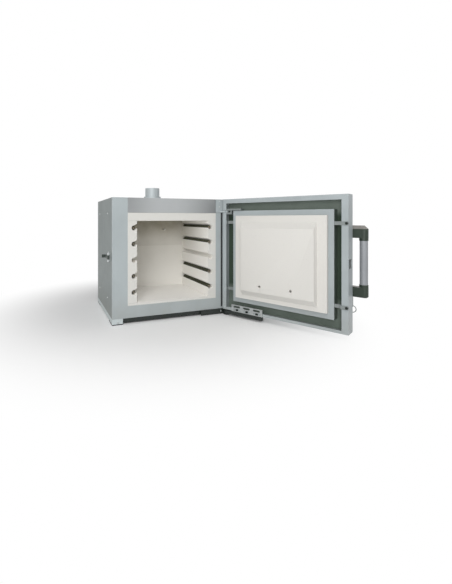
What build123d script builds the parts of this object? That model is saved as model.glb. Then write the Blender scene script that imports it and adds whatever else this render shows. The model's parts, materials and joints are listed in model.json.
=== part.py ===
from build123d import *
import os
from math import acos, cos, hypot, pi, radians, sin, tan

# Front-loading chamber kiln for a bench, drawn with its side-hinged door swung open.
# Millimetres. X runs to the right, Y to the back and Z up. The origin is the centre of the
# housing's footprint on the bench. Heights of parts on the housing and the door are given
# above the housing's underside.

# Housing
BODY_WIDTH = 558
BODY_DEPTH = 440
BODY_HEIGHT = 520
SHEET = 2
COLUMN_WIDTH = 67
RAIL_HEIGHT = 52
HEADER_HEIGHT = 66
FRONT_RETURN = 10
SKIRT_DROP = 21
BEVEL_WIDTH = 16
BEVEL_DEPTH = 9

# Runners
RUNNER_WIDTH = 46
RUNNER_HEIGHT = 22
PAD_THICKNESS = 4
PAD_LENGTH = 80
BENCH_BOLT_RADIUS = 3.5
BENCH_BOLT_INSET = 50

# Chamber
GROOVED_WALL = 41
FLOOR_THICKNESS = 10
CEILING_THICKNESS = 35
COLLAR_PROUD = 1.5
BACK_WALL = 40
BACK_WALL_JOINT_DROP = 137
REAR_BOARD = 40
SERVICE_GAP = 32

# Heating rods
LOWEST_ROD_RISE = 46
HIGHEST_ROD_DROP = 31
GROOVES = 5
EMPTY_GROOVE = 2
GROOVE_RADIUS = 11
GROOVE_SEAT = 13
GROOVE_MOUTH_RISE = 18
GROOVE_LIP_DROP = 2
TUBE_RADIUS = 4.6
TUBE_POCKET = 10
ROD_FRONT_GAP = 12
WIRE_RADIUS = 2
WIRE_CLEARANCE = 0.4
WINDING_TURNS = 23
PIN_RADIUS = 2
PIN_CLEARANCE = 0.5
LEAST_WIRE_GAP = 0.4

# Exhaust
EXHAUST_X = -8
EXHAUST_BACK_GAP = 14
EXHAUST_BORE = 12
LINER_WALL = 8
PIPE_RADIUS = 38
PIPE_SWELL = 1
PIPE_NECK = 2
PIPE_WALL = 2
PIPE_HEIGHT = 71
COLLAR_HEIGHT = 26
COLLAR_RADIUS = 45

# Rear service space
REAR_COVER_INSET = 64
REAR_COVER_BOTTOM = 80
REAR_COVER_DROP = 104
REAR_COVER_DEPTH = 42
COVER_LAP = 20
VENT_LENGTH = 60
VENT_HEIGHT = 5
VENT_PITCH = 14
VENT_ROWS = 5
STRIP_WIDTH = 24
STRIP_DEPTH = 16
PIN_TAIL = 12
PROBE_RADIUS = 4
PROBE_X = 60
PROBE_DROP = 49
PROBE_REACH = 25
PROBE_HEAD_RADIUS = 13
PROBE_HEAD_LENGTH = 14
GLAND_INSET = 44
GLAND_HEIGHT = 45
GLAND_BORE = 6
GLAND_RADIUS = 12
GLAND_NUT_RADIUS = 15
GLAND_NUT = 8
GLAND_LENGTH = 30

# Door pan
DOOR_GAP = 9
DOOR_LIFT = 1
DOOR_SIDE_INSET = 4
DOOR_DEPTH = 58
DOOR_EDGE_RADIUS = 6
FREE_FLANGE = 24
HINGE_FLANGE = 18
TOP_FLANGE = 20
BOTTOM_FLANGE = 12
LINING = 8
OPEN_ANGLE = 116.8

# Door plug
CASING_SIDE_GAP = 52
CASING_BOTTOM = 45
CASING_DROP = 55
CASING_WALL = 1.5
LIP_RECESS = 8
LIP_SIDE = 21.5
LIP_BOTTOM = 23
LIP_TOP = 23
FACE_PROUD = 7
PANEL_SIDE_CLEARANCE = 6
PANEL_FLOOR_CLEARANCE = 24
PANEL_CEILING_CLEARANCE = 5
PANEL_HEIGHT = 24
PANEL_SIDE_DRAFT = 4
PANEL_TOP_DRAFT = 26
PANEL_BOTTOM_DRAFT = 24
AIR_HOLE_X = 68.5
AIR_HOLE_HEIGHT = 137
AIR_BORE = 5.5
AIR_SLEEVE_WALL = 3

# Plug straps
STRAP_HEIGHT = 14
STRAP_THICKNESS = 3
STRAP_DEPTH = 13
STRAP_STEP_GAP = 0.5
STRAP_DROP = 108.5
STRAP_LOW = 100.5
STRAP_BOLT_RADIUS = 3
STRAP_HEAD_RADIUS = 6
STRAP_HEAD = 3.5
STRAP_BOLT_INSET = 6.5
STRAP_END_INSET = 1.5

# Hinges
HINGE_INSET = 18
HINGE_REACH = 20
PIN_FIT = 0.05
UPPER_PIN_RADIUS = 5
LOWER_PIN_RADIUS = 6
BUSH_WALL = 2.5
LUG_DROP = 62
LUG_THICKNESS = 8
LUG_RADIUS = 9
LUG_CLEARANCE = 2
FORK_GAP = 1
FORK_THICKNESS = 8
FORK_DEPTH = 21
FORK_REACH = 96
FORK_WEB = 6
BLOCK_THICKNESS = 4
BLOCK_RIGHT = 30
ARM_WIDTH = 24
ARM_THICKNESS = 18
ARM_REACH = 203
ARM_BOSS_RADIUS = 13.5
NOSE_BOTTOM = 2
NOSE_THICKNESS = 4.5
NOSE_WIDTH = 28
THRUST_GAP = 0.3
THRUST_FLANGE = 1
ANGLE_THICKNESS = 4
ANGLE_WIDTH = 140

# Seal strip on the right column
SEAL_INSET = 40
SEAL_WIDTH = 8
SEAL_THICKNESS = 1.5
SEAL_RISE = 9
SEAL_GAP = 1

# Slotted adjusting plate
ADJUST_START = 49
ADJUST_LENGTH = 157
ADJUST_TOP = 31
ADJUST_LEG = 3
SLOT_LENGTH = 34
SLOT_HEIGHT = 9
SLOT_PITCH = 50
SLOT_ROW_PITCH = 14
SLOT_LOW = 8
ADJUST_BOLT_HEAD = 3

# Handle
HANDLE_DROP = 117
HANDLE_BOTTOM = 133
UPPER_BRACKET = 47
LOWER_BRACKET = 38
BRACKET_DEPTH = 30
BRACKET_FOOT = 39
BRACKET_REACH = 48.5
BRACKET_END_RADIUS = 14
UPPER_BEVEL = 13
LOWER_BEVEL = 4
SOCKET_WALL = 1.5
SOCKET_LENGTH = 10
GRIP_RADIUS = 14
GRIP_SEAT = 20
HANDLE_SCREW_INSET = 9
HANDLE_SCREW_PITCH = 20
HANDLE_SCREW_HEAD = 5
HANDLE_SCREW_HEAD_HEIGHT = 3

# Air slide
SLIDE_HEIGHT = 40
SLIDE_REACH = 100
TONGUE_HEIGHT = 13
SLIDE_THICKNESS = 2
SLIDE_CLEARANCE = 0.3
SLIDE_TRAVEL = 28
RAIL_WIDTH = 10
RAIL_LIP = 4
TAB_INSET = 3
TAB_HEIGHT = 24
TAB_DEPTH = 12
TAB_EYE_RADIUS = 3
TAB_EYE_DROP = 18
RING_RADIUS = 12.5
RING_WIRE = 1.5
RING_PLAY = 0.1

# Latch
LATCH_LENGTH = 39
LATCH_BACK = 46
LATCH_LEAF_WIDTH = 48
LATCH_LEAF = 3
LATCH_BARREL = 5
BARREL_GAP = 0.5
LATCH_PIN_RADIUS = 2.5
LATCH_ARM_REACH = 68
LATCH_ARM_THICKNESS = 4
LATCH_NOSE_HEIGHT = 14
LATCH_NOSE_REACH = 16.5
LATCH_SWUNG_OUT = 176
KNUCKLE = 10
KNUCKLE_GAP = 0.5
POCKET_FRONT = 4
POCKET_WIDTH = 42
POCKET_HEIGHT = 35
POCKET_DEPTH = 20
POCKET_WALL = 1.5

# Fasteners
SCREW_RADIUS = 4
SCREW_HEAD = 2
SCREW_INSET = 6
SIDE_SCREW_LOW = 68
SIDE_SCREW_DROP = 68
SIDE_SCREW_FRONT = 120
SIDE_SCREW_BACK = 80
BACK_SCREW_INSET = 24

# Places worked out from the sizes
base = PAD_THICKNESS + RUNNER_HEIGHT
top = base + BODY_HEIGHT
right = BODY_WIDTH / 2
front = -BODY_DEPTH / 2
back = BODY_DEPTH / 2
window = right - COLUMN_WIDTH
inside = right - SHEET
collar_front = front - COLLAR_PROUD
sheet_front = front + FRONT_RETURN
collar_bottom = base + RAIL_HEIGHT
collar_top = top - HEADER_HEIGHT
chamber_side = window - GROOVED_WALL
chamber_floor = collar_bottom + FLOOR_THICKNESS
chamber_ceiling = collar_top - CEILING_THICKNESS
rear_board_end = back - SHEET - SERVICE_GAP
back_wall_end = rear_board_end - REAR_BOARD
chamber_back = back_wall_end - BACK_WALL
lowest_rod = chamber_floor + LOWEST_ROD_RISE
rod_pitch = (chamber_ceiling - HIGHEST_ROD_DROP - lowest_rod) / (GROOVES - 1)
groove_heights = [lowest_rod + i * rod_pitch for i in range(GROOVES)]
rod_heights = [z for i, z in enumerate(groove_heights) if i != EMPTY_GROOVE]
rod_x = chamber_side + GROOVE_SEAT
exhaust_y = chamber_back - EXHAUST_BACK_GAP
neck_radius = PIPE_RADIUS - PIPE_SWELL
rim = front - DOOR_GAP
skin = rim - DOOR_DEPTH
door_bottom = base + DOOR_LIFT
door_side = right - DOOR_SIDE_INSET
door_inside = door_side - SHEET
hinge_x = right - HINGE_INSET
hinge_y = front - HINGE_REACH


def block(x, y, z, mode=Mode.ADD):
    """The block between two values along each axis."""
    with Locations(((x[0] + x[1]) / 2, (y[0] + y[1]) / 2, (z[0] + z[1]) / 2)):
        Box(x[1] - x[0], y[1] - y[0], z[1] - z[0], mode=mode)


def round_bar(start, end, radius, mode=Mode.ADD):
    """The cylinder from one point to another."""
    along = Vector(*end) - Vector(*start)
    with Locations(Plane(origin=start, z_dir=along)):
        Cylinder(radius, along.length, align=(Align.CENTER, Align.CENTER, Align.MIN), mode=mode)


def save(piece, name, place=None):
    """Labels a finished piece and writes it, at the place given."""
    solid = piece.part if place is None else piece.part.moved(place)
    solid.label = name
    export_step(solid, f"parts/{name}.step")


def turned_about(x, y, angle):
    """A turn about the upright line at x, y."""
    return Location((x, y, 0)) * Location((0, 0, 0), (0, 0, angle)) * Location((-x, -y, 0))


os.makedirs("parts", exist_ok=True)

# Bench runners: a box section with a closed front end
for side, name in ((-1, "left_runner"), (1, "right_runner")):
    outer = side * right
    inner = side * (right - RUNNER_WIDTH)
    near, far = sorted((outer, inner))
    with BuildPart() as runner:
        block((near, far), (front, back), (PAD_THICKNESS, base))
        block(
            (near + SHEET, far - SHEET),
            (front + SHEET, back),
            (PAD_THICKNESS + SHEET, base - SHEET),
            mode=Mode.SUBTRACT,
        )
        for y in (front + BENCH_BOLT_INSET, back - BENCH_BOLT_INSET):
            middle = (near + far) / 2
            round_bar((middle, y, PAD_THICKNESS), (middle, y, PAD_THICKNESS + SHEET),
                      BENCH_BOLT_RADIUS, mode=Mode.SUBTRACT)
    save(runner, name)

with BuildPart() as runner_pads:
    for x in (-right + RUNNER_WIDTH / 2, right - RUNNER_WIDTH / 2):
        for y0, bolt in (
            (front, front + BENCH_BOLT_INSET),
            (back - PAD_LENGTH, back - BENCH_BOLT_INSET),
        ):
            block(
                (x - RUNNER_WIDTH / 2, x + RUNNER_WIDTH / 2),
                (y0, y0 + PAD_LENGTH),
                (0, PAD_THICKNESS),
            )
            round_bar((x, bolt, 0), (x, bolt, PAD_THICKNESS), BENCH_BOLT_RADIUS,
                      mode=Mode.SUBTRACT)
save(runner_pads, "runner_pads")

# Housing panels. The bottom one has a skirt between the runners.
with BuildPart() as bottom_panel:
    block((-inside, inside), (sheet_front, back), (base, base + SHEET))
    block(
        (-right + RUNNER_WIDTH, right - RUNNER_WIDTH),
        (sheet_front, sheet_front + SHEET),
        (base - SKIRT_DROP, base),
    )
save(bottom_panel, "bottom_panel")

with BuildPart() as top_panel:
    block((-inside, inside), (sheet_front, back), (top - SHEET, top))
    round_bar((EXHAUST_X, exhaust_y, top - SHEET), (EXHAUST_X, exhaust_y, top), neck_radius,
              mode=Mode.SUBTRACT)
save(top_panel, "top_panel")

for side, name in ((-1, "left_side_panel"), (1, "right_side_panel")):
    near, far = sorted((side * inside, side * right))
    with BuildPart() as side_panel:
        block((near, far), (sheet_front, back), (base, top))
    save(side_panel, name)

cover_right = right - REAR_COVER_INSET
cover_left = -cover_right
cover_bottom = base + REAR_COVER_BOTTOM
cover_top = top - REAR_COVER_DROP
cover_back = back + REAR_COVER_DEPTH
gland_x = -right + GLAND_INSET
gland_z = base + GLAND_HEIGHT
with BuildPart() as back_panel:
    block((-inside, inside), (back - SHEET, back), (base + SHEET, top - SHEET))
    block(
        (cover_left + COVER_LAP, cover_right - COVER_LAP),
        (back - SHEET, back),
        (cover_bottom + COVER_LAP, cover_top - COVER_LAP),
        mode=Mode.SUBTRACT,
    )
    round_bar((gland_x, back - SHEET, gland_z), (gland_x, back, gland_z), GLAND_RADIUS,
              mode=Mode.SUBTRACT)
save(back_panel, "back_panel")

# Painted front frame: two columns and a bottom rail, open towards the header. Its right-hand
# upright edge is bevelled where the door's hinge corner swings past.
with BuildPart() as front_frame:
    with BuildSketch(Plane.XY.offset(base)):
        with BuildLine():
            Polyline(
                (-right, sheet_front),
                (-right, front),
                (right - BEVEL_WIDTH, front),
                (right, front + BEVEL_DEPTH),
                (right, sheet_front),
                close=True,
            )
        make_face()
    extrude(amount=BODY_HEIGHT)
    with BuildSketch(Plane.XY.offset(base + SHEET)):
        with BuildLine():
            Polyline(
                (-inside, sheet_front),
                (-inside, front + SHEET),
                (inside - BEVEL_WIDTH, front + SHEET),
                (inside, front + SHEET + BEVEL_DEPTH),
                (inside, sheet_front),
                close=True,
            )
        make_face()
    extrude(amount=BODY_HEIGHT - 2 * SHEET, mode=Mode.SUBTRACT)
    block((-window, window), (front, sheet_front), (collar_bottom, top), mode=Mode.SUBTRACT)
save(front_frame, "front_frame")

with BuildPart() as front_header:
    block((-window, window), (front, sheet_front), (collar_top, top))
    block(
        (-window, window),
        (front + SHEET, sheet_front),
        (collar_top, top - SHEET),
        mode=Mode.SUBTRACT,
    )
save(front_header, "front_header")

# Chamber: two grooved side blocks, a floor, a ceiling and a back wall in two boards
for side, name in ((-1, "left_grooved_wall"), (1, "right_grooved_wall")):
    mouth = side * chamber_side
    seat = side * rod_x
    near, far = sorted((mouth, side * window))
    with BuildPart() as grooved_wall:
        block((near, far), (collar_front, chamber_back), (chamber_floor, chamber_ceiling))
        with BuildSketch(Plane.XZ.offset(-collar_front)):
            for z in groove_heights:
                with BuildLine():
                    Polyline(
                        (mouth, z + GROOVE_MOUTH_RISE),
                        (seat, z + GROOVE_RADIUS),
                        (seat, z - GROOVE_RADIUS),
                        (mouth, z - GROOVE_LIP_DROP),
                        close=True,
                    )
                make_face()
                with Locations((seat, z)):
                    Circle(GROOVE_RADIUS)
        extrude(amount=collar_front - chamber_back, mode=Mode.SUBTRACT)
    save(grooved_wall, name)

with BuildPart() as floor_slab:
    block((-window, window), (collar_front, back_wall_end), (collar_bottom, chamber_floor))
save(floor_slab, "floor_slab")

liner_radius = EXHAUST_BORE + LINER_WALL
with BuildPart() as ceiling_slab:
    block((-window, window), (collar_front, back_wall_end), (chamber_ceiling, collar_top))
    round_bar((EXHAUST_X, exhaust_y, chamber_ceiling), (EXHAUST_X, exhaust_y, collar_top),
              liner_radius, mode=Mode.SUBTRACT)
save(ceiling_slab, "ceiling_slab")

probe_z = chamber_ceiling - PROBE_DROP
joint_z = chamber_ceiling - BACK_WALL_JOINT_DROP
for name, low, high in (
    ("back_wall_lower", chamber_floor, joint_z),
    ("back_wall_upper", joint_z, chamber_ceiling),
):
    with BuildPart() as back_wall:
        block((-window, window), (chamber_back, back_wall_end), (low, high))
        for z in rod_heights:
            if low < z < high:
                for x in (-rod_x, rod_x):
                    round_bar((x, chamber_back, z), (x, back_wall_end, z),
                              PIN_RADIUS + PIN_CLEARANCE, mode=Mode.SUBTRACT)
                    round_bar((x, chamber_back, z), (x, chamber_back + TUBE_POCKET, z),
                              TUBE_RADIUS, mode=Mode.SUBTRACT)
        if low < probe_z < high:
            round_bar((PROBE_X, chamber_back, probe_z), (PROBE_X, back_wall_end, probe_z),
                      PROBE_RADIUS, mode=Mode.SUBTRACT)
    save(back_wall, name)

# Backing boards between the chamber and the housing
with BuildPart() as side_backing:
    for side in (-1, 1):
        near, far = sorted((side * window, side * inside))
        block((near, far), (sheet_front, back_wall_end), (base + SHEET, top - SHEET))
save(side_backing, "side_backing")

with BuildPart() as bottom_backing:
    block((-window, window), (sheet_front, back_wall_end), (base + SHEET, collar_bottom))
save(bottom_backing, "bottom_backing")

with BuildPart() as top_backing:
    block((-window, window), (sheet_front, back_wall_end), (collar_top, top - SHEET))
    round_bar((EXHAUST_X, exhaust_y, collar_top), (EXHAUST_X, exhaust_y, top - SHEET),
              neck_radius, mode=Mode.SUBTRACT)
save(top_backing, "top_backing")

with BuildPart() as rear_backing:
    block((-inside, inside), (back_wall_end, rear_board_end), (base + SHEET, top - SHEET))
    for z in rod_heights:
        for x in (-rod_x, rod_x):
            round_bar((x, back_wall_end, z), (x, rear_board_end, z),
                      PIN_RADIUS + PIN_CLEARANCE, mode=Mode.SUBTRACT)
    round_bar((PROBE_X, back_wall_end, probe_z), (PROBE_X, rear_board_end, probe_z),
              PROBE_RADIUS, mode=Mode.SUBTRACT)
save(rear_backing, "rear_backing")

# Heating rods: a ceramic tube in each filled groove, wound with heating wire
rod_front = front + ROD_FRONT_GAP
with BuildPart() as support_tubes:
    for z in rod_heights:
        for x in (-rod_x, rod_x):
            round_bar((x, rod_front, z), (x, chamber_back + TUBE_POCKET, z), TUBE_RADIUS)
            round_bar((x, chamber_back, z), (x, chamber_back + TUBE_POCKET, z), PIN_RADIUS,
                      mode=Mode.SUBTRACT)
save(support_tubes, "support_tubes")

coil_radius = TUBE_RADIUS + WIRE_CLEARANCE + WIRE_RADIUS
wire_lead = 2 * WIRE_RADIUS
coil_start = rod_front + wire_lead + WIRE_RADIUS
coil_length = chamber_back - wire_lead - WIRE_RADIUS - coil_start
coil_pitch = coil_length / WINDING_TURNS


def on_coil(turn):
    """The point on the wire's centreline after so many turns, and its direction there."""
    angle = 2 * pi * turn
    point = Vector(coil_radius * cos(angle), coil_start + coil_pitch * turn,
                   coil_radius * sin(angle))
    way = Vector(-2 * pi * coil_radius * sin(angle), coil_pitch, 2 * pi * coil_radius * cos(angle))
    return point, way.normalized()


def biarc(start, leaving, end, arriving):
    """Two arcs that leave one point and reach another in the directions given."""
    chord = end - start
    both = leaving + arriving
    square = 2 * (1 - leaving.dot(arriving))
    slope = 2 * chord.dot(both)
    reach = (-slope + (slope**2 + 4 * square * chord.dot(chord)) ** 0.5) / (2 * square)
    meeting = (start + leaving * reach + end - arriving * reach) * 0.5
    first = Edge.make_tangent_arc(start, leaving, meeting)
    return first, Edge.make_tangent_arc(meeting, first.tangent_at(1), end)


half_turns = 2 * WINDING_TURNS
wire_edges = []
for i in range(half_turns):
    here, leaving = on_coil(i / 2)
    there, arriving = on_coil((i + 1) / 2)
    wire_edges.extend(biarc(here, leaving, there, arriving))
first_point, first_way = on_coil(0)
last_point, last_way = on_coil(WINDING_TURNS)
wire_edges.insert(0, Edge.make_line(first_point - first_way * wire_lead, first_point))
wire_edges.append(Edge.make_line(last_point, last_point + last_way * wire_lead))
wire_path = Wire(wire_edges)
wire_gap = coil_pitch * cos(acos(coil_pitch / hypot(coil_pitch, 2 * pi * coil_radius)) - pi / 2)
wire_gap -= 2 * WIRE_RADIUS
print("winding: turns", WINDING_TURNS, "pitch", round(coil_pitch, 2), "gap", round(wire_gap, 2))
assert wire_gap > LEAST_WIRE_GAP

with BuildPart() as winding:
    with BuildSketch(Plane(origin=wire_path @ 0, z_dir=wire_path % 0)):
        Circle(WIRE_RADIUS)
    sweep(path=wire_path)

for side, name in ((-1, "left_heating_windings"), (1, "right_heating_windings")):
    with BuildPart() as windings:
        for z in rod_heights:
            add(winding.part.moved(Location((side * rod_x, 0, z))))
    save(windings, name)

strip_back = rear_board_end + STRIP_DEPTH
with BuildPart() as lead_pins:
    for z in rod_heights:
        for x in (-rod_x, rod_x):
            round_bar((x, chamber_back, z), (x, strip_back + PIN_TAIL, z), PIN_RADIUS)
save(lead_pins, "lead_pins")

with BuildPart() as terminal_strips:
    for x in (-rod_x, rod_x):
        block(
            (x - STRIP_WIDTH / 2, x + STRIP_WIDTH / 2),
            (rear_board_end, strip_back),
            (rod_heights[0] - STRIP_WIDTH / 2, rod_heights[-1] + STRIP_WIDTH / 2),
        )
        for z in rod_heights:
            round_bar((x, rear_board_end, z), (x, strip_back, z), PIN_RADIUS,
                      mode=Mode.SUBTRACT)
save(terminal_strips, "terminal_strips")

# Thermocouple through the back wall
with BuildPart() as thermocouple:
    round_bar((PROBE_X, chamber_back - PROBE_REACH, probe_z), (PROBE_X, rear_board_end, probe_z),
              PROBE_RADIUS)
    round_bar((PROBE_X, rear_board_end, probe_z),
              (PROBE_X, rear_board_end + PROBE_HEAD_LENGTH, probe_z), PROBE_HEAD_RADIUS)
save(thermocouple, "thermocouple")

# Exhaust: a ceramic liner through the ceiling, a steel pipe that widens above its collar, and
# the collar on the roof
liner_top = top - SHEET
with BuildPart() as exhaust_liner:
    for low, high, radius in (
        (chamber_ceiling, liner_top, liner_radius),
        (collar_top, collar_top + LINER_WALL, neck_radius - PIPE_WALL),
    ):
        round_bar((EXHAUST_X, exhaust_y, low), (EXHAUST_X, exhaust_y, high), radius)
    round_bar((EXHAUST_X, exhaust_y, chamber_ceiling), (EXHAUST_X, exhaust_y, liner_top),
              EXHAUST_BORE, mode=Mode.SUBTRACT)
save(exhaust_liner, "exhaust_liner")

swell_z = top + COLLAR_HEIGHT + PIPE_NECK
pipe_top = top + PIPE_HEIGHT
with BuildPart() as exhaust_pipe:
    for wall, mode in ((0, Mode.ADD), (PIPE_WALL, Mode.SUBTRACT)):
        for low, radius in ((collar_top, neck_radius), (swell_z, PIPE_RADIUS)):
            round_bar((EXHAUST_X, exhaust_y, low), (EXHAUST_X, exhaust_y, pipe_top),
                      radius - wall, mode=mode)
save(exhaust_pipe, "exhaust_pipe")

collar_height = top + COLLAR_HEIGHT
with BuildPart() as exhaust_collar:
    round_bar((EXHAUST_X, exhaust_y, top), (EXHAUST_X, exhaust_y, collar_height), COLLAR_RADIUS)
    round_bar((EXHAUST_X, exhaust_y, top), (EXHAUST_X, exhaust_y, top + SHEET),
              COLLAR_RADIUS + FRONT_RETURN)
    round_bar((EXHAUST_X, exhaust_y, top), (EXHAUST_X, exhaust_y, collar_height), neck_radius,
              mode=Mode.SUBTRACT)
save(exhaust_collar, "exhaust_collar")

# Rear cover over the terminals, with vent slots, and the supply cable's gland
vent_low = (cover_bottom + cover_top) / 2 - (VENT_ROWS - 1) * VENT_PITCH / 2
with BuildPart() as rear_cover:
    block((cover_left, cover_right), (back, cover_back), (cover_bottom, cover_top))
    block(
        (cover_left + SHEET, cover_right - SHEET),
        (back, cover_back - SHEET),
        (cover_bottom + SHEET, cover_top - SHEET),
        mode=Mode.SUBTRACT,
    )
    for row in range(VENT_ROWS):
        z = vent_low + row * VENT_PITCH
        for x in (cover_left / 2, 0, cover_right / 2):
            block(
                (x - VENT_LENGTH / 2, x + VENT_LENGTH / 2),
                (cover_back - SHEET, cover_back),
                (z - VENT_HEIGHT / 2, z + VENT_HEIGHT / 2),
                mode=Mode.SUBTRACT,
            )
    for x in (cover_left - FRONT_RETURN, cover_right):
        block((x, x + FRONT_RETURN), (back, back + SHEET), (cover_bottom, cover_top))
save(rear_cover, "rear_cover")

with BuildPart() as cable_gland:
    round_bar((gland_x, back - GLAND_NUT, gland_z), (gland_x, back - SHEET, gland_z),
              GLAND_NUT_RADIUS)
    round_bar((gland_x, back - SHEET, gland_z), (gland_x, back, gland_z), GLAND_RADIUS)
    with BuildSketch(Plane.XZ.offset(-back)):
        with Locations((gland_x, gland_z)):
            RegularPolygon(GLAND_NUT_RADIUS, 6)
    extrude(amount=-GLAND_NUT)
    round_bar((gland_x, back + GLAND_NUT, gland_z), (gland_x, back + GLAND_LENGTH, gland_z),
              GLAND_RADIUS)
    round_bar((gland_x, back - GLAND_NUT, gland_z), (gland_x, back + GLAND_LENGTH, gland_z),
              GLAND_BORE, mode=Mode.SUBTRACT)
save(cable_gland, "cable_gland")

# Upper hinge: a lug on the right column reaches into the door and holds a pin
lug_bottom = top - LUG_DROP
lug_top = lug_bottom + LUG_THICKNESS
fork_low = lug_bottom - FORK_GAP - FORK_THICKNESS
fork_high = lug_top + FORK_GAP + FORK_THICKNESS
plate_front = front - BLOCK_THICKNESS
lug_left = hinge_x - 3 * LUG_RADIUS
with BuildPart() as upper_hinge_lug:
    block((window, right - BLOCK_RIGHT), (plate_front, front), (lug_bottom, top))
    with BuildSketch(Plane.XY.offset(lug_bottom)):
        with BuildLine():
            Polyline(
                (lug_left, plate_front),
                (right - BLOCK_RIGHT, plate_front),
                (hinge_x + LUG_RADIUS, hinge_y),
                (hinge_x, hinge_y - LUG_RADIUS),
                close=True,
            )
        make_face()
        with Locations((hinge_x, hinge_y)):
            Circle(LUG_RADIUS)
    extrude(amount=LUG_THICKNESS)
    round_bar((hinge_x, hinge_y, lug_bottom), (hinge_x, hinge_y, lug_top), UPPER_PIN_RADIUS,
              mode=Mode.SUBTRACT)
save(upper_hinge_lug, "upper_hinge_lug")

# Lower hinge: a bracket on the right runner's front end holds the pin that carries the door
nose_top = NOSE_BOTTOM + NOSE_THICKNESS
arm_bottom = nose_top + THRUST_GAP + THRUST_FLANGE
arm_top = arm_bottom + ARM_THICKNESS
angle_front = front - ANGLE_THICKNESS
angle_right = hinge_x + ARM_BOSS_RADIUS
angle_left = angle_right - ANGLE_WIDTH
angle_middle = (NOSE_BOTTOM + base) / 2
angle_screws = (right - RUNNER_WIDTH + SCREW_INSET, angle_right - SCREW_INSET)
with BuildPart() as lower_hinge_bracket:
    block((angle_left, angle_right), (angle_front, front), (NOSE_BOTTOM, base))
    for x in angle_screws:
        round_bar((x, angle_front, angle_middle), (x, angle_front + SCREW_HEAD, angle_middle),
                  SCREW_RADIUS, mode=Mode.SUBTRACT)
    block(
        (hinge_x - NOSE_WIDTH / 2, hinge_x + NOSE_WIDTH / 2),
        (hinge_y, front),
        (NOSE_BOTTOM, nose_top),
    )
    round_bar((hinge_x, hinge_y, NOSE_BOTTOM), (hinge_x, hinge_y, nose_top), NOSE_WIDTH / 2)
    round_bar((hinge_x, hinge_y, NOSE_BOTTOM), (hinge_x, hinge_y, nose_top), LOWER_PIN_RADIUS,
              mode=Mode.SUBTRACT)
save(lower_hinge_bracket, "lower_hinge_bracket")

with BuildPart() as hinge_pins:
    round_bar((hinge_x, hinge_y, fork_low), (hinge_x, hinge_y, fork_high), UPPER_PIN_RADIUS)
    round_bar((hinge_x, hinge_y, NOSE_BOTTOM), (hinge_x, hinge_y, arm_top), LOWER_PIN_RADIUS)
save(hinge_pins, "hinge_pins")

# Dark seal strip down the right column, beside the hinge edge of the door
seal_left = right - SEAL_INSET
with BuildPart() as column_seal:
    block(
        (seal_left, seal_left + SEAL_WIDTH),
        (front - SEAL_THICKNESS, front),
        (base + SEAL_RISE, lug_bottom - SEAL_GAP),
    )
save(column_seal, "column_seal")

# Latch on the left side: a leaf with a barrel, and an arm that is swung out of the way
latch_middle = (base + top) / 2
latch_low = latch_middle - LATCH_LENGTH / 2
latch_high = latch_low + LATCH_LENGTH
barrel_x = -right - LATCH_LEAF - BARREL_GAP - LATCH_BARREL
barrel_y = front + LATCH_BACK
pin_hole = LATCH_PIN_RADIUS + PIN_FIT
with BuildPart() as latch_leaf:
    block(
        (-right - LATCH_LEAF, -right),
        (barrel_y - LATCH_BARREL, barrel_y + LATCH_LEAF_WIDTH),
        (latch_low, latch_high),
    )
    for z in (latch_low, latch_high - KNUCKLE):
        round_bar((barrel_x, barrel_y, z), (barrel_x, barrel_y, z + KNUCKLE), LATCH_BARREL)
        block(
            (barrel_x, -right),
            (barrel_y - LATCH_PIN_RADIUS, barrel_y + LATCH_PIN_RADIUS),
            (z, z + KNUCKLE),
        )
    round_bar((barrel_x, barrel_y, latch_low), (barrel_x, barrel_y, latch_high),
              LATCH_PIN_RADIUS, mode=Mode.SUBTRACT)
save(latch_leaf, "latch_leaf")

with BuildPart() as latch_pin:
    round_bar((barrel_x, barrel_y, latch_low), (barrel_x, barrel_y, latch_high), LATCH_PIN_RADIUS)
save(latch_pin, "latch_pin")

arm_low = latch_low + KNUCKLE + KNUCKLE_GAP
arm_high = latch_high - KNUCKLE - KNUCKLE_GAP
arm_x = barrel_x - LATCH_ARM_THICKNESS / 2
nose_y = barrel_y - LATCH_ARM_REACH
with BuildPart() as latch_arm:
    with BuildSketch(Plane.YZ.offset(arm_x)):
        with BuildLine():
            Polyline(
                (barrel_y, arm_low),
                (barrel_y, arm_high),
                (nose_y, latch_middle + LATCH_NOSE_HEIGHT / 2),
                (nose_y, latch_middle - LATCH_NOSE_HEIGHT / 2),
                close=True,
            )
        make_face()
    extrude(amount=LATCH_ARM_THICKNESS)
    block(
        (arm_x, arm_x + LATCH_NOSE_REACH),
        (nose_y, nose_y + LATCH_ARM_THICKNESS),
        (latch_middle - LATCH_NOSE_HEIGHT / 2, latch_middle + LATCH_NOSE_HEIGHT / 2),
    )
    round_bar((barrel_x, barrel_y, arm_low), (barrel_x, barrel_y, arm_high), LATCH_BARREL)
    round_bar((barrel_x, barrel_y, latch_low), (barrel_x, barrel_y, latch_high), pin_hole,
              mode=Mode.SUBTRACT)
save(latch_arm, "latch_arm", turned_about(barrel_x, barrel_y, -LATCH_SWUNG_OUT))

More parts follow.
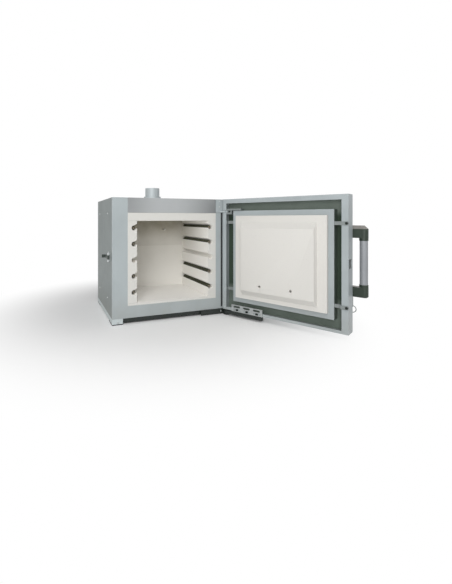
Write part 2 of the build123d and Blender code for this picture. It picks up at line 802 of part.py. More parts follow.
# Door, drawn shut and written swung open about its hinge
swung_open = turned_about(hinge_x, hinge_y, OPEN_ANGLE)
pocket_low = latch_middle - POCKET_HEIGHT / 2
pocket_high = pocket_low + POCKET_HEIGHT
pocket_near = rim - POCKET_FRONT
pocket_far = pocket_near - POCKET_WIDTH
air_z = base + AIR_HOLE_HEIGHT
sleeve_radius = AIR_BORE + AIR_SLEEVE_WALL
with BuildPart() as door_pan:
    block((-door_side, door_side), (skin, rim), (door_bottom, top))
    outer_edges = door_pan.faces().sort_by(Axis.Y)[0].edges()
    fillet(outer_edges, DOOR_EDGE_RADIUS)
    block(
        (-door_inside, door_inside),
        (skin + SHEET, rim - SHEET),
        (door_bottom + SHEET, top - SHEET),
        mode=Mode.SUBTRACT,
    )
    block(
        (-door_side + FREE_FLANGE, door_side - HINGE_FLANGE),
        (rim - SHEET, rim),
        (door_bottom + BOTTOM_FLANGE, top - TOP_FLANGE),
        mode=Mode.SUBTRACT,
    )
    block(
        (door_side - HINGE_FLANGE, door_side),
        (hinge_y - LUG_RADIUS - LUG_CLEARANCE, rim),
        (lug_bottom - LUG_CLEARANCE, lug_top + LUG_CLEARANCE),
        mode=Mode.SUBTRACT,
    )
    block(
        (-door_side, -door_inside),
        (pocket_far, pocket_near),
        (pocket_low, pocket_high),
        mode=Mode.SUBTRACT,
    )
    for x in (-AIR_HOLE_X, AIR_HOLE_X):
        round_bar((x, skin, air_z), (x, skin + SHEET, air_z), AIR_BORE, mode=Mode.SUBTRACT)
save(door_pan, "door_pan", swung_open)

lining_front = skin + SHEET + LINING
with BuildPart() as door_lining:
    block(
        (-door_inside, door_inside),
        (skin + SHEET, lining_front),
        (door_bottom + SHEET, top - SHEET),
    )
    for x in (-AIR_HOLE_X, AIR_HOLE_X):
        round_bar((x, skin + SHEET, air_z), (x, lining_front, air_z), AIR_BORE,
                  mode=Mode.SUBTRACT)
save(door_lining, "door_lining", swung_open)

casing_half = door_side - CASING_SIDE_GAP
casing_bottom = base + CASING_BOTTOM
casing_top = top - CASING_DROP
casing_front = rim - LIP_RECESS
face_half = casing_half - LIP_SIDE
face_bottom = casing_bottom + LIP_BOTTOM
face_top = casing_top - LIP_TOP
face_front = rim + FACE_PROUD
with BuildPart() as plug_casing:
    block(
        (-casing_half, casing_half),
        (lining_front, casing_front),
        (casing_bottom, casing_top),
    )
    block(
        (-casing_half + CASING_WALL, casing_half - CASING_WALL),
        (lining_front + CASING_WALL, casing_front - CASING_WALL),
        (casing_bottom + CASING_WALL, casing_top - CASING_WALL),
        mode=Mode.SUBTRACT,
    )
    block(
        (-face_half, face_half),
        (casing_front - CASING_WALL, casing_front),
        (face_bottom, face_top),
        mode=Mode.SUBTRACT,
    )
    for x in (-AIR_HOLE_X, AIR_HOLE_X):
        round_bar((x, lining_front, air_z), (x, lining_front + CASING_WALL, air_z),
                  sleeve_radius, mode=Mode.SUBTRACT)
save(plug_casing, "plug_casing", swung_open)

panel_front = face_front + PANEL_HEIGHT
panel_half = chamber_side - PANEL_SIDE_CLEARANCE
panel_bottom = chamber_floor + PANEL_FLOOR_CLEARANCE
panel_top = chamber_ceiling - PANEL_CEILING_CLEARANCE
crest_bottom = panel_bottom + PANEL_BOTTOM_DRAFT
crest_top = panel_top - PANEL_TOP_DRAFT
with BuildPart() as plug_insulation:
    block(
        (-casing_half + CASING_WALL, casing_half - CASING_WALL),
        (lining_front + CASING_WALL, casing_front - CASING_WALL),
        (casing_bottom + CASING_WALL, casing_top - CASING_WALL),
    )
    block(
        (-face_half, face_half),
        (casing_front - CASING_WALL, face_front),
        (face_bottom, face_top),
    )
    with BuildSketch(Plane.XZ.offset(-face_front)):
        with Locations((0, (panel_bottom + panel_top) / 2)):
            Rectangle(2 * panel_half, panel_top - panel_bottom)
    with BuildSketch(Plane.XZ.offset(-panel_front)):
        with Locations((0, (crest_bottom + crest_top) / 2)):
            Rectangle(2 * (panel_half - PANEL_SIDE_DRAFT), crest_top - crest_bottom)
    loft(ruled=True)
    for x in (-AIR_HOLE_X, AIR_HOLE_X):
        round_bar((x, lining_front, air_z), (x, panel_front, air_z), sleeve_radius,
                  mode=Mode.SUBTRACT)
save(plug_insulation, "plug_insulation", swung_open)

with BuildPart() as air_sleeves:
    for x in (-AIR_HOLE_X, AIR_HOLE_X):
        round_bar((x, lining_front, air_z), (x, panel_front, air_z), sleeve_radius)
        round_bar((x, lining_front, air_z), (x, panel_front, air_z), AIR_BORE,
                  mode=Mode.SUBTRACT)
save(air_sleeves, "air_sleeves", swung_open)

# Stepped straps that hold the plug in the pan: from the casing's sides to the flange's face on
# the free side, and to its back at the hinge
strap_heights = (base + STRAP_LOW, top - STRAP_DROP)
strap_back = rim - STRAP_DEPTH
strap_ends = (
    (-door_side + STRAP_END_INSET, -door_side + FREE_FLANGE, -casing_half, rim + STRAP_THICKNESS, 1),
    (door_inside - STRAP_END_INSET, door_side - HINGE_FLANGE, casing_half, rim - SHEET, -1),
)
free_bolt_x = -door_side + STRAP_BOLT_INSET
hinge_bolt_x = door_side - HINGE_FLANGE / 2
free_seat = rim + STRAP_THICKNESS
hinge_seat = rim - SHEET - STRAP_THICKNESS
with BuildPart() as plug_straps:
    for z in strap_heights:
        for outer_x, flange_x, inner_x, y, way in strap_ends:
            step_x = flange_x + way * STRAP_STEP_GAP
            rise_x = step_x + way * STRAP_THICKNESS
            for x0, x1, y0, y1 in (
                (outer_x, rise_x, y - STRAP_THICKNESS, y),
                (step_x, rise_x, strap_back, y),
                (step_x, inner_x, strap_back, strap_back + STRAP_THICKNESS),
            ):
                block(sorted((x0, x1)), (y0, y1), (z - STRAP_HEIGHT / 2, z + STRAP_HEIGHT / 2))
        for x, y in ((free_bolt_x, rim), (hinge_bolt_x, hinge_seat)):
            round_bar((x, y, z), (x, y + STRAP_THICKNESS, z), STRAP_BOLT_RADIUS,
                      mode=Mode.SUBTRACT)
save(plug_straps, "plug_straps", swung_open)

with BuildPart() as strap_bolts:
    for z in strap_heights:
        for x, foot, seat, crown in (
            (free_bolt_x, rim, free_seat, free_seat + STRAP_HEAD),
            (hinge_bolt_x, rim - SHEET, hinge_seat, hinge_seat - STRAP_HEAD),
        ):
            round_bar((x, foot, z), (x, crown, z), STRAP_BOLT_RADIUS)
            round_bar((x, seat, z), (x, crown, z), STRAP_HEAD_RADIUS)
save(strap_bolts, "strap_bolts", swung_open)

# The door's half of the upper hinge: a fork behind the flange, and its two bushes
fork_back = rim - SHEET - FORK_DEPTH
upper_bush_radius = UPPER_PIN_RADIUS + PIN_FIT + BUSH_WALL
fork_plates = (
    (fork_low, fork_low + FORK_THICKNESS, casing_half + FORK_WEB),
    (fork_high - FORK_THICKNESS, fork_high, door_side - FORK_REACH),
)
with BuildPart() as upper_hinge_fork:
    for low, high, reach in fork_plates:
        block((reach, door_inside), (fork_back, rim - SHEET), (low, high))
    block(
        (casing_half + FORK_WEB, casing_half + 2 * FORK_WEB),
        (fork_back, rim - SHEET),
        (fork_low, fork_high),
    )
    round_bar((hinge_x, hinge_y, fork_low), (hinge_x, hinge_y, fork_high), upper_bush_radius,
              mode=Mode.SUBTRACT)
save(upper_hinge_fork, "upper_hinge_fork", swung_open)

with BuildPart() as upper_hinge_bushes:
    for low, high, _ in fork_plates:
        round_bar((hinge_x, hinge_y, low), (hinge_x, hinge_y, high), upper_bush_radius)
    round_bar((hinge_x, hinge_y, fork_low), (hinge_x, hinge_y, fork_high),
              UPPER_PIN_RADIUS + PIN_FIT, mode=Mode.SUBTRACT)
save(upper_hinge_bushes, "upper_hinge_bushes", swung_open)

# The door's half of the lower hinge: a black arm under the door with a flanged bush, held to
# the flange by a slotted plate that lets the door be set straight
lower_bush_radius = LOWER_PIN_RADIUS + PIN_FIT + BUSH_WALL
arm_near = rim + ADJUST_LEG
arm_middle = arm_near - ARM_WIDTH / 2
arm_end = door_side - ARM_REACH + ARM_WIDTH / 2
with BuildPart() as lower_hinge_arm:
    block((arm_end, hinge_x), (arm_near - ARM_WIDTH, arm_near), (arm_bottom, arm_top))
    round_bar((arm_end, arm_middle, arm_bottom), (arm_end, arm_middle, arm_top), ARM_WIDTH / 2)
    round_bar((hinge_x, hinge_y, arm_bottom), (hinge_x, hinge_y, arm_top), ARM_BOSS_RADIUS)
    round_bar((hinge_x, hinge_y, arm_bottom), (hinge_x, hinge_y, arm_top), lower_bush_radius,
              mode=Mode.SUBTRACT)
save(lower_hinge_arm, "lower_hinge_arm", swung_open)

with BuildPart() as lower_hinge_bush:
    round_bar((hinge_x, hinge_y, arm_bottom - THRUST_FLANGE), (hinge_x, hinge_y, arm_bottom),
              lower_bush_radius + BUSH_WALL)
    round_bar((hinge_x, hinge_y, arm_bottom), (hinge_x, hinge_y, arm_top), lower_bush_radius)
    round_bar((hinge_x, hinge_y, arm_bottom - THRUST_FLANGE), (hinge_x, hinge_y, arm_top),
              LOWER_PIN_RADIUS + PIN_FIT, mode=Mode.SUBTRACT)
save(lower_hinge_bush, "lower_hinge_bush", swung_open)

adjust_right = door_side - ADJUST_START
adjust_left = adjust_right - ADJUST_LENGTH
adjust_middle = (adjust_left + adjust_right) / 2
slot_columns = [adjust_middle + i * SLOT_PITCH for i in (-1, 0, 1)]
slot_rows = (base + SLOT_LOW, base + SLOT_LOW + SLOT_ROW_PITCH)
with BuildPart() as adjusting_plate:
    block((adjust_left, adjust_right), (rim, arm_near), (arm_top, base + ADJUST_TOP))
    with BuildSketch(Plane.XZ.offset(-arm_near)):
        for x in slot_columns:
            for z in slot_rows:
                with Locations((x, z)):
                    SlotOverall(SLOT_LENGTH, SLOT_HEIGHT)
    extrude(amount=ADJUST_LEG, mode=Mode.SUBTRACT)
save(adjusting_plate, "adjusting_plate", swung_open)

with BuildPart() as adjusting_bolts:
    for x in slot_columns:
        z = slot_rows[0]
        round_bar((x, rim, z), (x, arm_near, z), STRAP_BOLT_RADIUS)
        with BuildSketch(Plane.XZ.offset(-arm_near)):
            with Locations((x, z)):
                RegularPolygon(STRAP_HEAD_RADIUS, 6)
        extrude(amount=-ADJUST_BOLT_HEAD)
save(adjusting_bolts, "adjusting_bolts", swung_open)

# Handle beside the free edge: two brackets on the door's outer face and a tube between them
bracket_in = -door_side + BRACKET_FOOT
bracket_out = -door_side - BRACKET_REACH
bracket_face = skin - BRACKET_DEPTH
grip_x = bracket_out + SOCKET_WALL + GRIP_RADIUS
grip_y = skin - BRACKET_DEPTH / 2
handle_top = top - HANDLE_DROP
handle_bottom = base + HANDLE_BOTTOM
grip_ends = []
for name, end_z, height, bevel, way in (
    ("upper_handle_bracket", handle_top, UPPER_BRACKET, UPPER_BEVEL, -1),
    ("lower_handle_bracket", handle_bottom, LOWER_BRACKET, LOWER_BEVEL, 1),
):
    inner_z = end_z + way * height
    mouth_z = inner_z + way * SOCKET_LENGTH
    seat_z = mouth_z - way * GRIP_SEAT
    grip_ends.append(seat_z)
    low, high = sorted((end_z, inner_z))
    with BuildPart() as bracket:
        block((bracket_out, bracket_in), (bracket_face, skin), (low, high))
        fillet(bracket.edges().filter_by(Axis.Z).sort_by(Axis.X)[:2], BRACKET_END_RADIUS)
        end_face = bracket.faces().sort_by(Axis.Z)[-1 if way < 0 else 0]
        chamfer(end_face.edges(), bevel)
        round_bar((grip_x, grip_y, inner_z), (grip_x, grip_y, mouth_z),
                  GRIP_RADIUS + SOCKET_WALL)
        round_bar((grip_x, grip_y, seat_z), (grip_x, grip_y, mouth_z), GRIP_RADIUS,
                  mode=Mode.SUBTRACT)
    save(bracket, name, swung_open)

with BuildPart() as handle_grip:
    for radius, mode in ((GRIP_RADIUS, Mode.ADD), (GRIP_RADIUS - SHEET, Mode.SUBTRACT)):
        round_bar((grip_x, grip_y, grip_ends[1]), (grip_x, grip_y, grip_ends[0]), radius,
                  mode=mode)
save(handle_grip, "handle_grip", swung_open)

screw_columns = [bracket_in - HANDLE_SCREW_INSET - i * HANDLE_SCREW_PITCH for i in range(2)]
with BuildPart() as handle_screws:
    for z in (handle_bottom + LOWER_BRACKET / 2, handle_top - UPPER_BRACKET / 2):
        for x in screw_columns:
            round_bar((x, bracket_face - HANDLE_SCREW_HEAD_HEIGHT, z), (x, bracket_face, z),
                      HANDLE_SCREW_HEAD)
save(handle_screws, "handle_screws", swung_open)

# Latch pocket behind the slot in the door's free side
with BuildPart() as latch_pocket:
    block(
        (-door_inside, -door_inside + POCKET_DEPTH),
        (pocket_far - POCKET_WALL, pocket_near + POCKET_WALL),
        (pocket_low - POCKET_WALL, pocket_high + POCKET_WALL),
    )
    block(
        (-door_inside, -door_inside + POCKET_DEPTH - POCKET_WALL),
        (pocket_far, pocket_near),
        (pocket_low, pocket_high),
        mode=Mode.SUBTRACT,
    )
save(latch_pocket, "latch_pocket", swung_open)

# Air slide on the door's outer face: a plate between two rails, drawn out by a ring
slide_low = air_z - SLIDE_HEIGHT / 2
slide_high = slide_low + SLIDE_HEIGHT
slide_skin = skin - SLIDE_CLEARANCE
slide_outer = slide_skin - SLIDE_THICKNESS
rail_outer = slide_outer - SLIDE_CLEARANCE
rail_reach = SLIDE_REACH + SLIDE_TRAVEL
with BuildPart() as slide_rails:
    for edge, way in ((slide_low, -1), (slide_high, 1)):
        seat = edge + way * SLIDE_CLEARANCE
        low, high = sorted((seat, seat + way * RAIL_WIDTH))
        block((-rail_reach, rail_reach), (rail_outer, skin), (low, high))
        low, high = sorted((seat - way * RAIL_LIP, seat + way * RAIL_WIDTH))
        block((-rail_reach, rail_reach), (rail_outer - SHEET, rail_outer), (low, high))
save(slide_rails, "slide_rails", swung_open)

tongue_high = slide_low + TONGUE_HEIGHT
tab_x = -door_side + TAB_INSET
eye_z = slide_low - TAB_EYE_DROP
eye_y = slide_outer - TAB_DEPTH / 2
with BuildPart() as air_slide:
    block((-SLIDE_REACH, SLIDE_REACH), (slide_outer, slide_skin), (slide_low, slide_high))
    block((tab_x, -SLIDE_REACH), (slide_outer, slide_skin), (slide_low, tongue_high))
    block(
        (tab_x, tab_x + SLIDE_THICKNESS),
        (slide_outer - TAB_DEPTH, slide_skin),
        (slide_low - TAB_HEIGHT, tongue_high),
    )
    for x in (-AIR_HOLE_X, AIR_HOLE_X):
        round_bar((x, slide_outer, air_z), (x, slide_skin, air_z), AIR_BORE,
                  mode=Mode.SUBTRACT)
    round_bar((tab_x, eye_y, eye_z), (tab_x + SLIDE_THICKNESS, eye_y, eye_z), TAB_EYE_RADIUS,
              mode=Mode.SUBTRACT)
save(air_slide, "air_slide", swung_open)

ring_z = eye_z - TAB_EYE_RADIUS + RING_WIRE + RING_PLAY - RING_RADIUS
with BuildPart() as pull_ring:
    with Locations(Plane(origin=(tab_x + SLIDE_THICKNESS / 2, eye_y, ring_z), z_dir=(0, 1, 0))):
        Torus(RING_RADIUS, RING_WIRE)
save(pull_ring, "pull_ring", swung_open)

# Screws of the housing panels, the rear cover, the hinges and the latch
panel_rows = (base + SIDE_SCREW_LOW, top - SIDE_SCREW_DROP)
panel_columns = (front + SIDE_SCREW_FRONT, back - SIDE_SCREW_BACK)
back_columns = (-inside + BACK_SCREW_INSET, inside - BACK_SCREW_INSET)
cover_columns = (cover_left - FRONT_RETURN / 2, cover_right + FRONT_RETURN / 2)
lug_screw_x = (window + right - BLOCK_RIGHT) / 2
screw_seats = []
for z in panel_rows:
    for y in panel_columns:
        for side in (-1, 1):
            screw_seats.append(((side * right, y, z), (side, 0, 0)))
for z in (base + BACK_SCREW_INSET, (base + top) / 2, top - BACK_SCREW_INSET):
    for x in back_columns:
        screw_seats.append(((x, back, z), (0, 1, 0)))
for z in (cover_bottom + COVER_LAP, cover_top - COVER_LAP):
    for x in cover_columns:
        screw_seats.append(((x, back + SHEET, z), (0, 1, 0)))
for z in (lug_top + 2 * LUG_RADIUS, top - LUG_RADIUS):
    screw_seats.append(((lug_screw_x, plate_front, z), (0, -1, 0)))
for x in angle_screws:
    screw_seats.append(((x, angle_front + SCREW_HEAD, angle_middle), (0, -1, 0)))
screw_seats.append(
    ((-right + RUNNER_WIDTH / 2, front, PAD_THICKNESS + SCREW_INSET), (0, -1, 0))
)
for z in (latch_low + SCREW_INSET, latch_high - SCREW_INSET):
    screw_seats.append(
        ((-right - LATCH_LEAF, barrel_y + LATCH_LEAF_WIDTH - SCREW_INSET, z), (-1, 0, 0))
    )
with BuildPart() as housing_screws:
    for seat, outward in screw_seats:
        round_bar(seat, Vector(*seat) + Vector(*outward) * SCREW_HEAD, SCREW_RADIUS)
save(housing_screws, "housing_screws")
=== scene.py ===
"""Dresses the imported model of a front-loading ceramic kiln and sets up its studio."""

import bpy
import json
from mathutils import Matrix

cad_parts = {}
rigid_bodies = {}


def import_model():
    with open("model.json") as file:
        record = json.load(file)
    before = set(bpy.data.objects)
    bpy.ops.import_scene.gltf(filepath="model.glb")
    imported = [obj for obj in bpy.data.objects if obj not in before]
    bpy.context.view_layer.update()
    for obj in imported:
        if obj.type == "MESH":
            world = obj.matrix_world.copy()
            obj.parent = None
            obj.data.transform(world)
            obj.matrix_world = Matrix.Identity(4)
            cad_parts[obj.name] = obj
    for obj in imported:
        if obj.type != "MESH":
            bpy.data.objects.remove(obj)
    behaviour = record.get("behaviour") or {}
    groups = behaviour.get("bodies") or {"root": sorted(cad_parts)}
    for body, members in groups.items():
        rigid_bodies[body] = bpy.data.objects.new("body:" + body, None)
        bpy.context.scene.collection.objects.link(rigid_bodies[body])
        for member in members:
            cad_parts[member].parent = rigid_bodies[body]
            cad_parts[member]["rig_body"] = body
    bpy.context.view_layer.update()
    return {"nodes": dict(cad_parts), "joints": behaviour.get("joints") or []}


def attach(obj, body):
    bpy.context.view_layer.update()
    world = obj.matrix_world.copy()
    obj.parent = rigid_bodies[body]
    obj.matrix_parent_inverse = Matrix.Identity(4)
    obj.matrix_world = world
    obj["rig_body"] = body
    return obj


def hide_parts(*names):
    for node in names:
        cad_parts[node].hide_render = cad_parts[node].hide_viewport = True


bl_info = {
    "name": "Ceramic kiln",
    "version": (1, 0, 0),
    "blender": (4, 5, 0),
    "location": "View3D > Sidebar > Kiln",
    "description": "Dresses the packed model of a front-loading ceramic kiln and sets up its studio",
    "category": "Object",
}

import json
import math

import bmesh
import bpy
import numpy as np
from bpy.props import FloatProperty, FloatVectorProperty, IntProperty, PointerProperty
from mathutils import Matrix, Vector

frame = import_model()

FRAME_WIDTH = 452
FRAME_HEIGHT = 584

DOOR_HINGE = next(joint for joint in frame["joints"] if joint["name"] == "door_hinge")
OPEN_ANGLE = math.radians(-DOOR_HINGE["range_deg"][0])
DOOR_INWARD = Matrix.Rotation(OPEN_ANGLE, 3, "Z") @ Vector((0, 1, 0))
HOUSING_MIDDLE = (0, 0, 0.28)


def span(node, axis):
    """The lowest and the highest place of a CAD node along an axis, in metres."""
    places = [getattr(vertex.co, axis) for vertex in frame["nodes"][node].data.vertices]
    return min(places), max(places)


header_left, header_right = span("front_header", "x")
mouth, chamber_back = span("left_grooved_wall", "y")
chamber_floor, chamber_top = span("left_grooved_wall", "z")
board_joint = span("back_wall_lower", "z")[1]
lining_low, lining_high = span("door_lining", "z")

# The limits, in metres, between which one colour turns into another; most of them lay painted shade and
# painted light
HEADER_SHADE_LEFT = (header_left - 0.048, header_left + 0.152)
HEADER_SHADE_RIGHT = (0.0, header_right + 0.048)
SHADED_MOUTH_FACE = (mouth + 0.0002, mouth + 0.0018)
CHAMBER_SHADE_DEPTH = (mouth + 0.0215, chamber_back + 0.014)
CHAMBER_SHADE_HEIGHT = (chamber_top - 0.205, chamber_top - 0.025)
UPPER_BACK_SHADE = (board_joint + 0.012, chamber_top - 0.005)
LOWER_BACK_SHADE = (chamber_floor + 0.032, board_joint - 0.008)
LINING_LIT_TOP = (lining_high - 0.084, lining_high - 0.054)
LINING_LIT_BOTTOM = (lining_low + 0.091, lining_low + 0.121)
DUSTY_FOOT = (0.03, 0.16)
SHADOWED_FLOOR = (0.4, 1.0)

# Stains, as seen on a screen
PAINT_DUST = (150, 146, 136)
CERAMIC_STAIN = (170, 150, 120)

# Meshes
MERGE_DISTANCE = 1e-6
FLAT_ANGLE = math.radians(0.5)
SHARP_ANGLE = math.radians(35)
HEAD_SIDES = 24
HEXAGON_RADIUS = 0.84
CROSS_WAIST = 0.32
COIL_STEPS = 20
WIRE_SIDES = 8

# The studio, in metres, with the width and the place of each soft light
FLOOR_REACH = 14
LIGHT_TARGET = (0.1, -0.2, 0.25)
KEY_LIGHT = (2.0, (-0.95, -2.55, 2.85))
FILL_LIGHT = (1.6, (-1.5, -2.6, 0.9))
NEAREST_VIEW = 0.01
SENSOR_WIDTH = 36


def shade(red, green, blue):
    """A colour as seen on a screen, 0 to 255, turned into light."""
    return [
        part / 12.92 if part <= 0.04045 else ((part + 0.055) / 1.055) ** 2.4
        for part in (red / 255, green / 255, blue / 255)
    ] + [1.0]


def scaled(base, factor):
    """A lighter or darker form of a colour."""
    return [min(1, part * factor) for part in base[:3]] + [1]


def colour(name, description, *screen):
    """A colour a user can change, given as seen on a screen."""
    return FloatVectorProperty(
        name=name,
        description=description,
        subtype="COLOR",
        size=4,
        min=0,
        max=1,
        default=shade(*screen),
    )


def length(name, description, default):
    """A length a user can change, in metres."""
    return FloatProperty(
        name=name, description=description, default=default, min=0, unit="LENGTH", precision=4
    )


class KilnSizes(bpy.types.PropertyGroup):
    """Sizes of the details that the scene adds."""

    sheet_edge: length("Sheet edge", "Rounding of the folded sheet's edges", 0.0012)
    board_edge: length("Board edge", "Rounding of the fibre boards' edges", 0.0022)
    small_edge: length("Small edge", "Rounding of the small fittings' edges", 0.0006)
    bracket_edge: length("Bracket edge", "Rounding of the handle brackets' edges", 0.0025)
    coil_radius: length("Coil radius", "Radius of the heating wire's coil at the wire's centre", 0.0069)
    wire_radius: length("Wire radius", "Radius of the heating wire", 0.0019)
    coil_turns: IntProperty(
        name="Coil turns", description="Turns of heating wire on each rod", default=44, min=1
    )


class KilnColours(bpy.types.PropertyGroup):
    """Colours of the kiln's finishes."""

    front: colour("Front paint", "Light paint of the front frame and the door", 164, 172, 174)
    # Painted light: a lighter copy of the front paint that brightens the runners.
    runner: colour("Runner paint", "Paint of the runners", 196, 206, 208)
    # Painted shade: a darker copy of the front paint for the sides, the top and the back, where less
    # light falls.
    side: colour("Side paint", "Darker paint of the sides, the top and the back", 124, 132, 131)
    fibre: colour("Fibre", "Ceramic fibre of the chamber", 245, 243, 238)
    # Painted shade: a darker copy of the chamber fibre, laid on the mouth's front face.
    collar: colour("Chamber mouth", "Handled fibre round the chamber's mouth", 206, 205, 200)
    # Painted shade: a darker copy of the chamber fibre for the plug's face; the ceramic tubes and the
    # floor's faint patches share it.
    plug: colour("Plug fibre", "Ceramic fibre of the plug", 216, 214, 209)
    # Painted light: a lighter copy of the chamber fibre that brightens the chamber's floor, which also
    # takes no scorching.
    hearth: colour("Hearth fibre", "Clean fibre of the chamber's floor", 248, 246, 242)
    # Darker colour for scorching and for painted shade deep in the chamber and on the back boards.
    scorched: colour("Scorched fibre", "Fibre where it has been heated most", 158, 152, 134)
    # Painted shade: the darker colour of the casing's sides inside the door's cavity.
    casing_side: colour("Casing sides", "Darker sides of the plug's casing", 84, 96, 88)
    lining: colour("Door lining", "Dark board inside the door", 66, 80, 68)
    # Painted light: the paler colour of the board's top and bottom strips.
    lining_rim: colour("Door lining's rim", "The board's paler top and bottom", 134, 144, 136)
    wire: colour("Heating wire", "Oxidised heating wire", 76, 78, 60)
    rod: colour("Rod ceramic", "Tubes inside the heating wire", 118, 110, 96)
    steel: colour("Plated steel", "Zinc plated fittings", 190, 194, 194)
    stainless: colour("Stainless steel", "Header panel", 186, 189, 190)
    worn_steel: colour("Worn steel", "Duller fittings of the door", 132, 138, 137)
    duct: colour("Duct steel", "Exhaust pipe and its collar", 200, 207, 209)
    # The black also paints the bottom panel, as painted shade in the gap under the housing.
    black: colour("Black paint", "Lower hinge", 34, 40, 37)
    latch: colour("Latch paint", "Arm of the latch", 58, 66, 62)
    bracket: colour("Handle brackets", "Moulded handle brackets", 32, 45, 34)
    # Painted highlight: the paler colour of the brackets' upper faces, where light falls from above.
    dust: colour("Dust", "Dust on the brackets' upper faces", 150, 146, 142)
    grip: colour("Handle grip", "Tube between the handle brackets", 152, 155, 159)
    # The rubber also colours the dark strip on the right column beside the door's hinge.
    rubber: colour("Rubber", "Pads, seal and cable gland", 44, 44, 46)
    bronze: colour("Bronze", "Bushes of the hinges", 176, 146, 92)


class StudioSettings(bpy.types.PropertyGroup):
    """Light, floor and camera."""

    floor: colour("Floor", "Colour of the floor", 252, 252, 252)
    world_light: FloatProperty(
        name="World light",
        description="Strength of the even light from all round",
        default=0.38,
        min=0,
    )
    key_power: FloatProperty(
        name="Key light",
        description="Power of the large soft light overhead",
        default=38,
        min=0,
        unit="POWER",
    )
    fill_power: FloatProperty(
        name="Fill light",
        description="Power of the soft light that reaches inside",
        default=30,
        min=0,
        unit="POWER",
    )
    camera_place: FloatVectorProperty(
        name="Camera",
        description="Place of the camera",
        default=(-0.5286, -1.6391, 0.4545),
        subtype="TRANSLATION",
    )
    camera_turn: FloatProperty(
        name="Camera turn",
        description="Turn of the level camera to the right of straight ahead",
        default=math.radians(20.92),
        subtype="ANGLE",
    )
    focal_pixels: FloatProperty(
        name="Focal length", description="Focal length in pixels of the frame", default=334.14, min=1
    )
    centre_across: FloatProperty(
        name="Optical centre across", description="Pixels from the frame's left edge", default=176.78
    )
    centre_down: FloatProperty(
        name="Optical centre down", description="Pixels from the frame's top edge", default=218.65
    )


class Value:
    """A socket of a material that can be used in sums like a number."""

    def __init__(self, finish, socket):
        self.finish = finish
        self.socket = socket

    def sum(self, operation, *values):
        return self.finish.node("Math", {"operation": operation}, *values)

    def __add__(self, other):
        return self.sum("ADD", self, other)

    def __radd__(self, other):
        return self.sum("ADD", other, self)

    def __sub__(self, other):
        return self.sum("SUBTRACT", self, other)

    def __rsub__(self, other):
        return self.sum("SUBTRACT", other, self)

    def __mul__(self, other):
        return self.sum("MULTIPLY", self, other)


class Finish:
    """A material built from nodes."""

    def __init__(self, name):
        self.material = bpy.data.materials.new(name)
        self.material.use_nodes = True
        self.tree = self.material.node_tree
        self.shader = self.tree.nodes["Principled BSDF"]
        self.place = self.node("TexCoord", {}, output="Object")

    def node(self, kind, settings, *values, output=0, **named):
        """Adds a node, sets it, feeds its sockets and gives its output."""
        node = self.tree.nodes.new("ShaderNode" + kind)
        for key, value in settings.items():
            setattr(node, key, value)
        sockets = [socket for socket in node.inputs if socket.enabled]
        pairs = list(zip(sockets, values))
        for key, value in named.items():
            label = key.replace("_", " ")
            pairs.append((next(socket for socket in sockets if socket.name == label), value))
        for socket, value in pairs:
            self.feed(socket, value)
        outputs = [socket for socket in node.outputs if socket.enabled]
        found = outputs[output] if isinstance(output, int) else node.outputs[output]
        return Value(self, found)

    def feed(self, socket, value):
        """Links a socket to a value or sets it to a number, a colour or a direction."""
        if isinstance(value, Value):
            self.tree.links.new(value.socket, socket)
        else:
            socket.default_value = value

    def set(self, **inputs):
        """Sets or links the shader's own sockets."""
        for key, value in inputs.items():
            self.feed(self.shader.inputs[key.replace("_", " ")], value)

    def noise(self, scale, detail=3.0, roughness=0.55, place=None):
        """Noise between 0 and 1, of a scale in features per metre."""
        spot = self.place if place is None else place
        return self.node("TexNoise", {}, spot, Scale=scale, Detail=detail, Roughness=roughness)

    def stretched(self, across, deep, high):
        """The surface's place, stretched along each axis."""
        return self.node("Mapping", {}, self.place, Scale=(across, deep, high))

    def axis(self, letter):
        """How far along an axis the surface is, in metres."""
        return self.node("SeparateXYZ", {}, self.place, output=letter)

    def between(self, value, low, high):
        """0 below the first limit, 1 above the second and smooth between."""
        return self.node(
            "MapRange", {"interpolation_type": "SMOOTHSTEP"}, value, low, high, 0.0, 1.0
        )

    def mix(self, factor, first, second):
        """One colour turning into another."""
        return self.node("Mix", {"data_type": "RGBA"}, factor, first, second)

    def tinted(self, base, amount, scale):
        """A colour that varies a little over the surface."""
        cloud = self.noise(scale)
        patches = self.between(cloud, 0.3, 0.7)
        return self.mix(patches, scaled(base, 1 - amount), scaled(base, 1 + amount))

    def bump(self, height, depth, strength, normal=None):
        """A normal raised by a height between 0 and 1, with a depth in metres."""
        inputs = {"Strength": strength, "Distance": depth, "Height": height}
        if normal is not None:
            inputs["Normal"] = normal
        return self.node("Bump", {}, **inputs)


